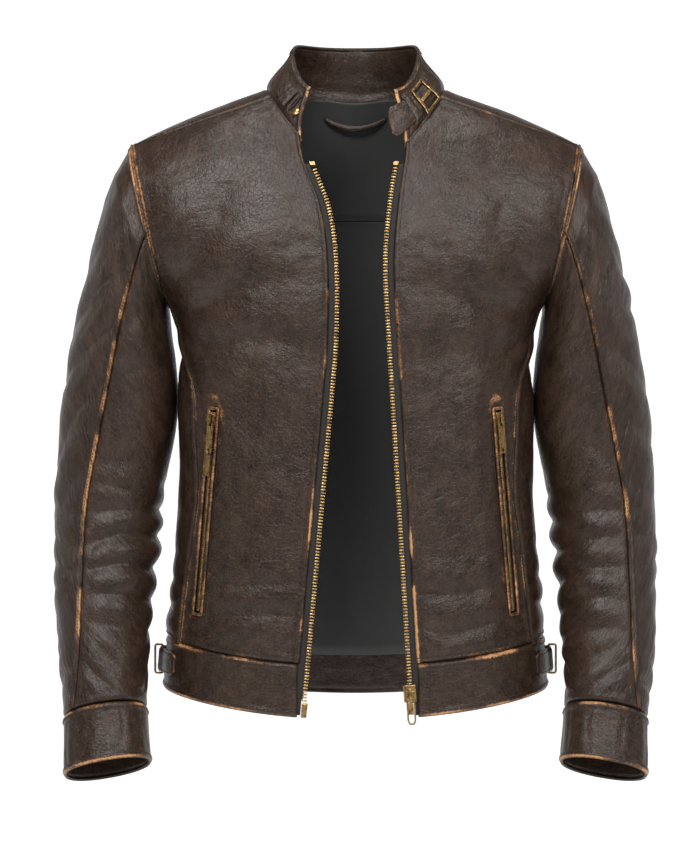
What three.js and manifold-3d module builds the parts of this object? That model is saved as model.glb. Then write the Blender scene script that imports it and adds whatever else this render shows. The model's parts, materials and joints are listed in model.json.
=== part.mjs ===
// A stand-collar leather riding jacket worn open, as separate sewn panels, linings, zips and buckles.
// Millimetres, +Z up. The front faces -Y and +X is the wearer's left. The origin lies between the wearer's
// shoulders, where the neck meets the yoke.
import * as THREE from "three";
import { ParametricGeometry } from "three/addons/geometries/ParametricGeometry.js";
import { mergeVertices } from "three/addons/utils/BufferGeometryUtils.js";
import Module from "manifold-3d";

const wasm = await Module();
wasm.setup();

// ---- Driving dimensions ----
const GAP = 0.35; // between pieces that are sewn or seated together
const SEAT = 0.7; // between a strap or buckle and the curved face it lies on
const RUNNING = 0.5; // between a slider and what it runs on
const LEATHER = 2; // panel with its fused backing
const FACING = 1.4;
const LINING = 1;
const TAPE = 0.7;
const LINING_DEPTH = 6.2; // lining below the leather's face, so that pocket bags and facings fit between

const SHOULDER_HALF = 233; // shoulder tip from the centre line
const SHOULDER_DROP = 42;
const UNDERARM_DROP = 205;
const ARMHOLE_LEAN = THREE.MathUtils.degToRad(12.25); // the armhole plane leans in towards the underarm
const ARMHOLE_REACH = 276; // half width that the chest would have without its armholes
const CHEST_HALF = 185;
const CHEST_DROP = 330;
const WAIST_HALF = 189;
const WAIST_DROP = 450;
const HEM_HALF = 201;
const HEM_DROP = 606; // at the sides
const HEM_DIP = 22; // how much lower the hem hangs at the centre
const BAND_HEIGHT = 54;
const FRONT_DEPTH = 116;
const BACK_DEPTH = 110;
const ROUNDNESS = 2.5; // exponent of the superellipse that each level section follows

const NECK_HALF = 93;
const NECK_FRONT = 95; // from the neck centre forwards
const NECK_BACK = 78;
const NECK_CENTRE = -4; // y of the neck's centre
const NECK_RISE = 16; // side of the neck above the origin
const COLLAR_TOP_HALF = 68;
const COLLAR_TOP_FRONT = 76;
const COLLAR_TOP_BACK = 66;
const COLLAR_SEAM = 7; // collar edge tucked below the rim
const COLLAR_WALL = 3;

const YOKE_FRONT_RISE = 2; // front yoke seam beside the neck
const YOKE_FRONT_FALL = 0.345; // drop of that seam for each mm outwards
const YOKE_BACK_DROP = 105;
const SIDE_SEAM_BACK = 38; // y of the seam between side panel and back panel
const SIDE_SEAM_TOP = -181; // where it meets the armhole
const BAND_SEAM_NEAR = -560; // height of the seam over the hem band, about

const FACING_WIDTH = 30;
const TAPE_UNDER = 12; // zip tape under the leather edge
const TAPE_SHOWN = 5; // zip tape showing past the leather edge
const CHAIN_WIDTH = 5.2;
const CHAIN_THICK = 3;
const CHAIN_LOW = -612;
const TAPE_END = 12; // tape past the end of the teeth
const CHAIN_HIGH = -72;
const LEFT_STRAIGHT_TOP = -200; // below this the edge that carries the slider is straight
const RIGHT_STRAIGHT_TOP = -264;
const ZIP_END = { past: 1, short: 0.5, half: 2.4, box: 11, pin: 14 }; // retainer box and insertion pin
const TOP_STOP = { length: 4, half: 1.9 };

const CUFF_WALL = 2.8;
const CUFF_HEIGHT = 54;
const CUFF_HEM = 26; // sleeve lining stops this far above the cuff's end
const CUFF_EASE = 0.6; // cuff's face stands this far out from the sleeve's

const POCKET_TOP = { x: 144, z: -320 };
const POCKET_LOW = { x: 161, z: -523 };
const WELT_WIDTH = 15;
const WELT_SLOT = 8.4;
const WELT_PROUD = 0.6;
const WELT_END = 5; // welt beyond the teeth at each end
const POCKET_CHAIN_WIDTH = 4.4;
const POCKET_CHAIN_THICK = 2.2;
const POCKET_SLIDER = { width: 7.6, length: 13 };
const POCKET_PULL = { width: 8, length: 38, hole: 1.7 };
const POCKET_LEAF = { width: 6.4, length: 22, thick: 0.8 };
const LEAF_RING = { radius: 1.9, wire: 0.5 };

const MAIN_SLIDER = { width: 12, length: 17, thick: 7.4, rest: -602 };
const MAIN_PULL = { width: 9, length: 34, wire: 1.8 };

const BRIDGE = { width: 2.2, reach: 4.6, wall: 1.3, height: 3 }; // arch that holds a pull on its slider
const BRIDGE_FOOT = 0.01; // its legs run this far into the slider, so that the two join
const PULL_THICK = 1.4;

const COLLAR_STRAP = { low: 0.3, high: 0.76, from: -66, to: -20, thick: 1.8 };
// Angles round the collar are in degrees, and low and high are shares of its height.
const KEEPER = { from: -49, to: -44.5, past: 0.08, foot: 0.05, thick: 1.4 };
const BUCKLE = { from: -41, to: -26, low: 0.24, high: 0.84, bar: 0.06, side: 1.5, seat: 1.5, thick: 1.8 };
const PRONG = { play: 0.6, low: 0.51, high: 0.57, thick: 1.6 };
const LOOP = { from: 211, to: 217, low: 0.34, high: 0.72, foot: 0.07, inner: 2.6, outer: 4 };
const STUD = { angle: 226, rise: 0.42 };
const HANGER = { half: 34, tall: 7, thick: 1.2, drop: 22, bow: 9 };
const ADJUSTER = { width: 25, reach: 58, thick: 1.8, ring: 32, stand: 10.5, wire: 2.2 };

// ---- Materials ----
const finish = (color, roughness, metalness) => new THREE.MeshStandardMaterial({ color, roughness,
  metalness });
const leather = finish(0x44362f, 0.5, 0);
const wornLeather = finish(0x5a4231, 0.55, 0);
const liningCloth = finish(0x1b1a1a, 0.8, 0);
const tapeCloth = finish(0x16140f, 0.9, 0);
const brass = finish(0xa98042, 0.35, 1);

// ---- Solids ----
// A closed surface as a solid, turned face out where its rows ran the other way.
function solidFrom(geometry) {
  const bare = geometry.index ? geometry.toNonIndexed() : geometry.clone();
  bare.deleteAttribute("normal");
  bare.deleteAttribute("uv");
  const merged = mergeVertices(bare, 1e-3);
  const vertProperties = merged.attributes.position.array;
  const triVerts = new Uint32Array(merged.index.array);
  const made = new wasm.Manifold(new wasm.Mesh({ numProp: 3, vertProperties, triVerts }));
  if (made.volume() >= 0) return made;
  for (let i = 0; i < triVerts.length; i += 3) {
    [triVerts[i + 1], triVerts[i + 2]] = [triVerts[i + 2], triVerts[i + 1]];
  }
  return new wasm.Manifold(new wasm.Mesh({ numProp: 3, vertProperties, triVerts }));
}

// Sections joined in order. Open ends are closed at their middles, and a ring of sections joins up with
// itself.
function loft(sections, ring = false) {
  const around = sections[0].length;
  const middle = (points) => {
    const sum = points.reduce((total, p) => total.add(p), new THREE.Vector3());
    return points.map(() => sum.clone().divideScalar(around));
  };
  const first = sections[0];
  const last = sections[sections.length - 1];
  const rows = ring ? [...sections, first] : [middle(first), ...sections, middle(last)];
  const at = (u, v, target) =>
    target.copy(rows[Math.round(v * (rows.length - 1))][Math.round(u * around) % around]);
  return solidFrom(new ParametricGeometry(at, around, rows.length - 1));
}

const box = (width, depth, height, x = 0, y = 0, z = 0) =>
  solidFrom(new THREE.BoxGeometry(width, depth, height).translate(x, y, z));

// An outline in X and Z, as [x, z] pairs, run along Y from yFrom to yTo.
function prism(outline, yFrom, yTo) {
  const shape = new THREE.Shape(outline.map(([x, z]) => new THREE.Vector2(x, z)));
  const geometry = new THREE.ExtrudeGeometry(shape, { depth: yTo - yFrom, bevelEnabled: false });
  return solidFrom(geometry.rotateX(Math.PI / 2).translate(0, yTo, 0));
}

function mesh(name, solid, material) {
  const { vertProperties, triVerts } = solid.getMesh();
  const geometry = new THREE.BufferGeometry();
  geometry.setAttribute("position", new THREE.BufferAttribute(vertProperties, 3));
  geometry.setIndex(new THREE.BufferAttribute(triVerts, 1));
  geometry.computeVertexNormals();
  const made = new THREE.Mesh(geometry, material);
  made.name = name;
  return made;
}

const steps = (from, to, count) => Array.from({ length: count + 1 }, (_,
  i) => from + ((to - from) * i) / count);

// A smooth function through [position, value] pairs in rising order of position.
function profile(...points) {
  const through = new THREE.CubicInterpolant(points.map((p) => p[0]), points.map((p) => p[1]), 1);
  return (position) => through.evaluate(position)[0];
}

// ---- The torso's surface ----
const armholeX = (z) => SHOULDER_HALF + Math.tan(ARMHOLE_LEAN) * (z + SHOULDER_DROP);
const halfWidth = profile(
  [-HEM_DROP - 50, HEM_HALF + 3],
  [-HEM_DROP, HEM_HALF],
  [-WAIST_DROP, WAIST_HALF],
  [-CHEST_DROP, CHEST_HALF],
  [-UNDERARM_DROP, armholeX(-UNDERARM_DROP)],
  [-UNDERARM_DROP + 40, 0.86 * ARMHOLE_REACH],
  [-UNDERARM_DROP + 90, ARMHOLE_REACH],
  [-SHOULDER_DROP - 38, ARMHOLE_REACH],
  [-SHOULDER_DROP, SHOULDER_HALF],
  [NECK_RISE, NECK_HALF + 3],
  [NECK_RISE + 12, 0.6 * NECK_HALF],
);
const frontDepth = profile(
  [-HEM_DROP - 50, FRONT_DEPTH],
  [-WAIST_DROP, FRONT_DEPTH],
  [-CHEST_DROP, FRONT_DEPTH],
  [-UNDERARM_DROP - 20, FRONT_DEPTH],
  [-UNDERARM_DROP + 5, FRONT_DEPTH],
  [-UNDERARM_DROP + 85, FRONT_DEPTH - 9],
  [-SHOULDER_DROP, FRONT_DEPTH - 34],
  [NECK_RISE, FRONT_DEPTH - 76],
  [NECK_RISE + 12, FRONT_DEPTH - 86],
);
const backDepth = profile(
  [-HEM_DROP - 50, BACK_DEPTH - 6],
  [-CHEST_DROP, BACK_DEPTH],
  [-UNDERARM_DROP, BACK_DEPTH + 4],
  [-SHOULDER_DROP, BACK_DEPTH - 18],
  [NECK_RISE, BACK_DEPTH - 36],
  [NECK_RISE + 12, BACK_DEPTH - 44],
);
const depthAt = (y, z) => (y < 0 ? frontDepth(z) : backDepth(z));
// Under 1 inside the torso and over 1 outside it.
const torsoField = (x, y, z) =>
  (Math.abs(x) / halfWidth(z)) ** ROUNDNESS + (Math.abs(y) / depthAt(y, z)) ** ROUNDNESS;

// A point of the torso's surface moved inwards, square to the surface.
function inset({ x, y, z }, depth) {
  const h = 0.5;
  const normal = new THREE.Vector3(
    torsoField(x + h, y, z) - torsoField(x - h, y, z),
    torsoField(x, y + h, z) - torsoField(x, y - h, z),
    torsoField(x, y, z + h) - torsoField(x, y, z - h),
  ).normalize();
  return new THREE.Vector3(x, y, z).addScaledVector(normal, -depth);
}

const power = (value) => Math.sign(value) * Math.abs(value) ** (2 / ROUNDNESS);
function torsoPoint(angle, z, depth) {
  const side = Math.sin(angle);
  return inset({ x: halfWidth(z) * power(Math.cos(angle)), y: depthAt(side, z) * power(side), z }, depth);
}
// The point of the front (facing -1) or back (facing 1) at a given x and z.
function torsoFace(x, z, depth, facing = -1) {
  const rest = Math.max(0, 1 - (Math.abs(x) / halfWidth(z)) ** ROUNDNESS);
  return inset({ x, y: facing * depthAt(facing, z) * rest ** (1 / ROUNDNESS), z }, depth);
}

function torsoShell(outer, inner, around, levels) {
  const ringAt = (z, depth) =>
    Array.from({ length: around }, (_, i) => torsoPoint((2 * Math.PI * i) / around, z, depth));
  return loft([...levels.map((z) => ringAt(z, outer)), ...[...levels].reverse().map((z) => ringAt(z,
    inner))], true);
}

// ---- Seam lines on the torso ----
const straightRun = (top, x, slope) => [-720, -480, top - 20, top].map((z) => [z, x + slope * (top - z)]);
const leftEdge = profile(...straightRun(LEFT_STRAIGHT_TOP, 38.2, 0.061), [-155, 38], [-105, 43], [-50,
  50], [-11, 44],
  [12, 39], [90, 39]);
const rightEdge = profile(...straightRun(RIGHT_STRAIGHT_TOP, 28.5, 0.09), [-159, 28.5], [-112, 36],
  [-57, 55],
  [-17, 54], [14, 47], [90, 47]);
const edgeAt = (side, z) => side * (side > 0 ? leftEdge(z) : rightEdge(z));
const sideSeam = profile([-720, 188], [-575, 182], [-509, 175], [-453, 168], [-407, 161], [-350, 163],
  [-290, 168],
  [-265, 176], [-225, 186], [-180, 207]);
const bandTop = (x) => -HEM_DROP + BAND_HEIGHT - HEM_DIP * (1 - (x / HEM_HALF) ** 2);
const yokeFront = (x) => YOKE_FRONT_RISE - YOKE_FRONT_FALL * (Math.abs(x) - NECK_HALF);

// ---- Cutters ----
const FAR = 320;
function neckCutter() {
  const shape = new THREE.Shape();
  shape.absellipse(0, NECK_CENTRE, NECK_HALF, NECK_BACK, 0, Math.PI, false, 0);
  shape.absellipse(0, NECK_CENTRE, NECK_HALF, NECK_FRONT, Math.PI, 2 * Math.PI, false, 0);
  const geometry = new THREE.ExtrudeGeometry(shape, { depth: 300, bevelEnabled: false, curveSegments: 16 });
  return solidFrom(geometry.translate(0, 0, -120));
}

// Everything outside one armhole plane, drawn in by the given gap.
function armholeCutter(side, gap) {
  const below = (UNDERARM_DROP - SHOULDER_DROP) / Math.cos(ARMHOLE_LEAN) + 1;
  const above = 100;
  const geometry = new THREE.BoxGeometry(FAR, 2 * FAR, above + below);
  geometry.translate(FAR / 2 - gap, 0, (above - below) / 2);
  geometry.rotateY(ARMHOLE_LEAN).translate(SHOULDER_HALF, 0, -SHOULDER_DROP);
  return solidFrom(side > 0 ? geometry : geometry.scale(-1, 1, 1));
}
const armholeCutters = armholeCutter(1, GAP / 2).add(armholeCutter(-1, GAP / 2));

const TORSO_AROUND = 36;
const torsoLevels = [-HEM_DROP - HEM_DIP - 12, -560, -WAIST_DROP, -CHEST_DROP, -270, -235,
  -UNDERARM_DROP, -180, -150,
  -115, -80, -58, -SHOULDER_DROP, -26, -8, 6, NECK_RISE, NECK_RISE + 8];
const leatherShell = torsoShell(0, LEATHER, TORSO_AROUND, torsoLevels).subtract(neckCutter())
  .subtract(armholeCutters);

// ---- Torso panels ----
function frontPanel(side) {
  const h = GAP / 2;
  const lows = steps(0, 1, 8).map((t) => {
    const x = edgeAt(side, BAND_SEAM_NEAR) * (1 - t) + side * sideSeam(BAND_SEAM_NEAR) * t;
    return [x, bandTop(x) + h];
  });
  const seam = steps(-540, SIDE_SEAM_TOP, 12).map((z) => [side * (sideSeam(z) - h), z]);
  const top = [[side * FAR, SIDE_SEAM_TOP], [side * FAR, yokeFront(FAR) - h]];
  const meets = yokeFront(edgeAt(side, NECK_RISE)) - h; // where the yoke seam would reach the zip edge
  const edge = steps(meets, BAND_SEAM_NEAR, 22).map((z) => [edgeAt(side, z), z]);
  return leatherShell.intersect(prism([...lows, ...seam, ...top, ...edge], -FAR,
    -1)).subtract(pocketHole(side));
}

function sidePanel(side) {
  const h = GAP / 2;
  const seam = steps(-545, SIDE_SEAM_TOP, 12).map((z) => [side * (sideSeam(z) + h), z]);
  const foot = [230, 205, 184].map((x) => [side * x, bandTop(x) + h]);
  return leatherShell.intersect(prism([...foot, ...seam, [side * FAR, SIDE_SEAM_TOP]], -FAR,
    SIDE_SEAM_BACK - h));
}

function backPanel() {
  const foot = steps(-230, 230, 16).map((x) => [x, bandTop(x) + GAP / 2]);
  const top = -YOKE_BACK_DROP - GAP / 2;
  return leatherShell.intersect(prism([...foot, [FAR, top], [-FAR, top]], SIDE_SEAM_BACK + GAP / 2, FAR));
}

function shoulderYoke() {
  const h = GAP / 2;
  const over = [[FAR, 90], [-FAR, 90]];
  const front = prism([[-FAR, yokeFront(FAR) + h], [0, yokeFront(0) + h], [FAR, yokeFront(FAR) + h],
    ...over], -FAR, 0);
  const back = prism([[-FAR, -YOKE_BACK_DROP + h], [FAR, -YOKE_BACK_DROP + h], ...over], -1, FAR);
  return leatherShell.intersect(front.add(back));
}

// The hem band's outline, between two x limits.
function bandOutline(fromX, toX) {
  const xs = steps(fromX, toX, 14);
  const top = xs.map((x) => [x, bandTop(x) - GAP / 2]);
  return [...top, ...[...xs].reverse().map((x) => [x, bandTop(x) - BAND_HEIGHT])];
}
function frontBand(side) {
  const edge = prism([...steps(-680, -520, 8).map((z) => [edgeAt(side, z), z]), [side * FAR, -520],
    [side * FAR, -680]],
    -FAR, 0);
  return leatherShell.intersect(prism(bandOutline(-230, 230), -FAR, -GAP)).intersect(edge);
}
const backBand = () => leatherShell.intersect(prism(bandOutline(-230, 230), GAP, FAR));

// A strip of the torso's front that follows a zip edge, from near to far millimetres outwards of that edge.
function edgeStrip(side, near, far, outer, inner, low, high, count = 14) {
  return loft(steps(low, high, count).map((z) => {
    const [a, b] = [edgeAt(side, z) + side * near, edgeAt(side, z) + side * far];
    const middle = (a + b) / 2;
    return [torsoFace(a, z, outer), torsoFace(middle, z, outer), torsoFace(b, z, outer), torsoFace(b,
      z, inner),
      torsoFace(middle, z, inner), torsoFace(a, z, inner)];
  }));
}
const tapeDepth = LEATHER + SEAT;
const facingDepth = tapeDepth + TAPE + GAP;
const chainDepth = tapeDepth + TAPE / 2; // the chain's middle lies on the tape
const facing = (side) =>
  edgeStrip(side, 1, FACING_WIDTH, facingDepth, facingDepth + FACING, CHAIN_LOW - TAPE_END, CHAIN_HIGH);
const zipTape = (side) =>
  edgeStrip(side, -TAPE_SHOWN, TAPE_UNDER, tapeDepth, tapeDepth + TAPE, CHAIN_LOW - TAPE_END,
    CHAIN_HIGH + 2);
const chainNear = TAPE_SHOWN + GAP;
const zipChain = (side) => edgeStrip(side, -chainNear - CHAIN_WIDTH, -chainNear,
  chainDepth - CHAIN_THICK / 2,
  chainDepth + CHAIN_THICK / 2, CHAIN_LOW, CHAIN_HIGH, 16);

function bodyLining() {
  const levels = torsoLevels.slice(0, -1);
  const edge = (side) => steps(-720, 90, 16).map((z) => [edgeAt(side, z) + side * (FACING_WIDTH - 8), z]);
  const opening = prism([...edge(1), ...edge(-1).reverse()], -FAR, -10);
  const shell = torsoShell(LINING_DEPTH, LINING_DEPTH + LINING, TORSO_AROUND, levels);
  const below = prism([...steps(-260, 260, 10).map((x) => [x, bandTop(x) - BAND_HEIGHT / 2]), [260,
    -720], [-260, -720]],
    -FAR, FAR);
  return shell.subtract(neckCutter()).subtract(armholeCutters).subtract(opening).subtract(below);
}

// ---- Collar ----
const lean = (t) => THREE.MathUtils.smoothstep(t, 0.16, 1);
function neckPlan(angle, t, outwards) {
  const mix = (low, high) => low + (high - low) * lean(t) + outwards - GAP;
  const back = Math.sin(angle) > 0;
  return {
    x: Math.cos(angle) * mix(NECK_HALF, COLLAR_TOP_HALF),
    y: NECK_CENTRE + Math.sin(angle) * (back ? mix(NECK_BACK, COLLAR_TOP_BACK) : mix(NECK_FRONT,
      COLLAR_TOP_FRONT)),
  };
}
// The height at which the torso's face meets an upright line at x and y.
function rimHeight(x, y) {
  let [low, high] = [-140, NECK_RISE + 11];
  for (let i = 0; i < 30; i++) {
    const z = (low + high) / 2;
    if (torsoField(x, y, z) > 1) high = z;
    else low = z;
  }
  return low;
}
const collarTop = profile([-1, 4], [-0.72, 12], [-0.4, 32], [-0.1, 54], [0.3, 67], [1, 72]);
function collarPoint(angle, t, outwards) {
  const { x, y } = neckPlan(angle, t, outwards);
  const rim = neckPlan(angle, 0, 0);
  const low = rimHeight(rim.x, rim.y) - COLLAR_SEAM;
  return new THREE.Vector3(x, y, low + (collarTop(Math.sin(angle)) - low) * t);
}
function collarRing() {
  const around = 48;
  const ringAt = (t, outwards) =>
    Array.from({ length: around }, (_, i) => collarPoint((2 * Math.PI * i) / around, t, outwards));
  const rises = [0, 0.16, 0.35, 0.6, 0.8, 1];
  return loft([...rises.map((t) => ringAt(t, 0)), ...[...rises].reverse().map((t) => ringAt(t,
    -COLLAR_WALL))], true);
}
const COLLAR_SEAM_Y = -8; // the collar's side seams lie a little in front of the neck's widest point
function collarParts() {
  const edge = (side) => steps(-130, 90, 16).map((z) => [edgeAt(side, z), z]);
  const opening = prism([...edge(1), ...edge(-1).reverse()], -FAR, -20);
  const cut = collarRing().subtract(opening);
  return {
    back: cut.intersect(box(2 * FAR, FAR, 2 * FAR, 0, COLLAR_SEAM_Y + GAP / 2 + FAR / 2)),
    left: cut.intersect(box(FAR, FAR, 2 * FAR, FAR / 2, COLLAR_SEAM_Y - GAP / 2 - FAR / 2)),
    right: cut.intersect(box(FAR, FAR, 2 * FAR, -FAR / 2, COLLAR_SEAM_Y - GAP / 2 - FAR / 2)),
  };
}
// A patch on the collar's face between two angles in degrees and two heights, from one standoff to another.
function collarPatch(fromAngle, toAngle, low, high, inner, outer, count = 6) {
  const deg = THREE.MathUtils.degToRad;
  const rises = steps(low, high, high - low > 0.2 ? 3 : 1);
  return loft(steps(deg(fromAngle), deg(toAngle), count).map((angle) => [
    ...rises.map((t) => collarPoint(angle, t, outer)), ...[...rises].reverse().map((t) =>
      collarPoint(angle, t, inner)),
  ]));
}
// A band over the strap: two feet on the collar and a bar across.
function collarBridge(fromAngle, toAngle, low, high, foot, inner, outer) {
  return collarPatch(fromAngle, toAngle, low, high, inner, outer, 2)
    .add(collarPatch(fromAngle, toAngle, low, low + foot, SEAT, outer, 2))
    .add(collarPatch(fromAngle, toAngle, high - foot, high, SEAT, outer, 2));
}
const strapTop = SEAT + COLLAR_STRAP.thick;
const collarStrap = () =>
  collarPatch(COLLAR_STRAP.from, COLLAR_STRAP.to, COLLAR_STRAP.low, COLLAR_STRAP.high, SEAT, strapTop, 12);
const overStrap = strapTop + SEAT;
const collarKeeper = () => collarBridge(KEEPER.from, KEEPER.to, COLLAR_STRAP.low - KEEPER.past,
  COLLAR_STRAP.high + KEEPER.past, KEEPER.foot, overStrap, overStrap + KEEPER.thick);
const buckleSeat = strapTop + BUCKLE.seat;
// One bar that runs round the strap and closes on itself.
function buckleFrame() {
  const { from, to, low, high, bar, side } = BUCKLE;
  const outline = (across, up) => {
    const [a, b, c, d] = [from + across, to - across, low + up, high - up];
    const run = steps(0, 1, 4).slice(0, -1);
    return [...run.map((t) => [a + (b - a) * t, c]), ...run.map((t) => [b, c + (d - c) * t]),
      ...run.map((t) => [b + (a - b) * t, d]), ...run.map((t) => [a, d + (c - d) * t])];
  };
  const within = outline(side, bar);
  const point = ([angle, rise], standoff) => collarPoint(THREE.MathUtils.degToRad(angle), rise, standoff);
  const [inner, outer] = [buckleSeat, buckleSeat + BUCKLE.thick];
  return loft(outline(0, 0).map((edge, i) =>
    [point(edge, outer), point(edge, inner), point(within[i], inner), point(within[i], outer)]), true);
}
const buckleProng = () => collarPatch(BUCKLE.from + BUCKLE.side + PRONG.play,
  BUCKLE.to - BUCKLE.side - PRONG.play,
  PRONG.low, PRONG.high, buckleSeat, buckleSeat + PRONG.thick, 3);
const collarLoop = () => collarBridge(LOOP.from, LOOP.to, LOOP.low, LOOP.high, LOOP.foot, LOOP.inner,
  LOOP.outer);
function collarStud() {
  const [angle, rise] = [THREE.MathUtils.degToRad(STUD.angle), STUD.rise];
  const seat = collarPoint(angle, rise, SEAT);
  const along = collarPoint(angle + 0.05, rise, 0).sub(collarPoint(angle - 0.05, rise, 0));
  const up = collarPoint(angle, rise + 0.1, 0).sub(collarPoint(angle, rise - 0.1, 0));
  const out = along.cross(up).normalize();
  const profilePoints = [[0, 0], [4.2, 0], [4.2, 0.8], [3, 1.7], [0, 2.1]].map(([r,
    h]) => new THREE.Vector2(r, h));
  const geometry = new THREE.LatheGeometry(profilePoints, 16);
  geometry.applyQuaternion(new THREE.Quaternion().setFromUnitVectors(new THREE.Vector3(0, 1, 0), out));
  return solidFrom(geometry.translate(seat.x, seat.y, seat.z));
}
function hangerLoop() {
  const { half, tall, thick, drop, bow } = HANGER;
  return loft(steps(-1, 1, 10).map((t) => {
    const away = LINING_DEPTH + LINING + SEAT + bow * Math.cos((t * Math.PI) / 2) ** 0.7;
    const z = NECK_RISE - drop + bow * t * t;
    return [torsoFace(half * t, z, away, 1), torsoFace(half * t, z, away + thick, 1),
      torsoFace(half * t, z - tall, away + thick, 1), torsoFace(half * t, z - tall, away, 1)];
  }));
}

// ---- Sleeves ----
// Each station: outer and inner edge [x, z], half depth, y of its middle, and how far it tips forwards
// in degrees.
const sleeveStations = [
  { out: [252, -71], in: [197.5, -214], half: 83, y: 2, tip: 0 },
  { out: [266, -115], in: [196.5, -224], half: 82, y: 3, tip: 0 },
  { out: [279, -170], in: [194.5, -242], half: 79, y: 3, tip: 0 },
  { out: [292, -225], in: [191, -266], half: 76, y: 4, tip: 0 },
  { out: [302, -280], in: [188.5, -300], half: 72, y: 5, tip: 0 },
  { out: [309, -335], in: [190.5, -337], half: 69, y: 6, tip: 0 },
  { out: [313, -390], in: [199, -385], half: 66, y: 4, tip: 0 },
  { out: [315, -440], in: [205, -435], half: 63, y: -2, tip: 6 },
  { out: [313, -500], in: [208, -490], half: 58, y: -18, tip: 14 },
  { out: [306, -570], in: [214, -560], half: 52, y: -42, tip: 19 },
  { out: [297, -634], in: [213, -621], half: 46, y: -66, tip: 20 },
];
const cuffEnd = { out: [294, -690], in: [207, -674], half: 44, y: -86, tip: 20 };
const SLEEVE_AROUND = 18;
const SLEEVE_ROUNDNESS = 0.92; // under 1 fills the section out a little

function stationRing(station, depth) {
  const outer = new THREE.Vector3(station.out[0], station.y, station.out[1]);
  const inner = new THREE.Vector3(station.in[0], station.y, station.in[1]);
  const centre = outer.clone().add(inner).multiplyScalar(0.5);
  const across = outer.clone().sub(centre);
  const halfAcross = across.length();
  across.normalize();
  const tip = THREE.MathUtils.degToRad(station.tip);
  const along = new THREE.Vector3(0, Math.cos(tip), -Math.sin(tip));
  const fill = (value) => Math.sign(value) * Math.abs(value) ** SLEEVE_ROUNDNESS;
  return Array.from({ length: SLEEVE_AROUND }, (_, i) => {
    const angle = (2 * Math.PI * i) / SLEEVE_AROUND;
    return centre.clone().addScaledVector(across, (halfAcross - depth) * fill(Math.cos(angle)))
      .addScaledVector(along, (station.half - depth) * fill(Math.sin(angle)));
  });
}

// The armhole's own outline on its plane, moved outwards of the plane by a gap.
function armholeRing(depth, gap) {
  const [high, low] = [-SHOULDER_DROP, -UNDERARM_DROP];
  const middle = (high + low) / 2;
  const tall = (high - low) / 2 - depth * Math.cos(ARMHOLE_LEAN);
  const ends = 0.5;
  return Array.from({ length: SLEEVE_AROUND }, (_, i) => {
    const angle = (2 * Math.PI * i) / SLEEVE_AROUND;
    const z = middle + (tall + depth - ends) * Math.cos(angle);
    const rest = Math.max(0, 1 - (armholeX(z) / halfWidth(z)) ** ROUNDNESS) ** (1 / ROUNDNESS);
    const y = Math.sign(Math.sin(angle)) * Math.max(0, depthAt(Math.sin(angle), z) * rest);
    const shrink = 1 - depth / 82;
    const at = middle + (z - middle) * shrink;
    return new THREE.Vector3(armholeX(at) + gap * Math.cos(ARMHOLE_LEAN), y * shrink,
      at - gap * Math.sin(ARMHOLE_LEAN));
  });
}

const turned = (side, points) => points.map((p) => new THREE.Vector3(side * p.x, p.y, p.z));
function sleeveTube(side, outer, inner, stations) {
  const rings = (depth) =>
    [armholeRing(depth, GAP / 2), ...stations.map((s) => stationRing(s,
      depth))].map((r) => turned(side, r));
  return loft([...rings(outer), ...rings(inner).reverse()], true);
}
const sleeveSeam = profile([-660, 288], [-570, 280], [-510, 279], [-413, 275], [-352, 264], [-302,
  254], [-217, 236],
  [-138, 212], [-110, 198]);
function sleevePart(side, top) {
  const h = (top ? GAP : -GAP) / 2;
  const seam = steps(-700, -110, 10).map((z) => [side * (sleeveSeam(z) + h), z]);
  const close = top ? [[side * 150, -20], [side * FAR * 1.2, -20], [side * FAR * 1.2,
    -700]] : [[side * 120, -110],
    [side * 120, -700]];
  return sleeveTube(side, 0, LEATHER, sleeveStations).intersect(prism([...seam, ...close], -FAR, FAR));
}
function cuff(side) {
  const wrist = sleeveStations[sleeveStations.length - 1];
  const drop = (station, by) => ({ ...station, out: [station.out[0], station.out[1] - by],
    in: [station.in[0],
    station.in[1] - by], half: station.half + CUFF_EASE });
  const rings = (depth) => [drop(wrist, GAP), drop(cuffEnd, 0)].map((s) => turned(side, stationRing(s,
    depth)));
  return loft([...rings(-CUFF_EASE), ...rings(CUFF_WALL - CUFF_EASE).reverse()], true);
}
function sleeveLining(side) {
  const wrist = sleeveStations[sleeveStations.length - 1];
  const t = CUFF_HEM / CUFF_HEIGHT;
  const mix = (a, b) => a + (b - a) * (1 - t);
  const end = {
    out: [mix(wrist.out[0], cuffEnd.out[0]), mix(wrist.out[1], cuffEnd.out[1])],
    in: [mix(wrist.in[0], cuffEnd.in[0]), mix(wrist.in[1], cuffEnd.in[1])],
    half: mix(wrist.half, cuffEnd.half),
    y: mix(wrist.y, cuffEnd.y),
    tip: wrist.tip,
  };
  return sleeveTube(side, CUFF_WALL + SEAT, CUFF_WALL + SEAT + LINING, [...sleeveStations, end]);
}

// ---- Zip sliders and pulls, in their own frame: +Z' up the zip, +Y' out of the jacket ----
// The arch over a pull's bar, standing on a face at the given height.
function pullArch(face) {
  const { width, reach, wall, height } = BRIDGE;
  const top = box(width, wall, 2 * reach, 0, face + height + wall / 2, 0);
  const leg = (z) => box(width, height + wall, wall, 0, face + (height + wall) / 2 - BRIDGE_FOOT, z);
  return top.add(leg(reach - wall / 2)).add(leg(wall / 2 - reach));
}
const pullPivot = (face) => ({ y: face + BRIDGE.height / 2, z: BRIDGE.reach - BRIDGE.wall - 0.4 -
  PULL_THICK / 2 });
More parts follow.
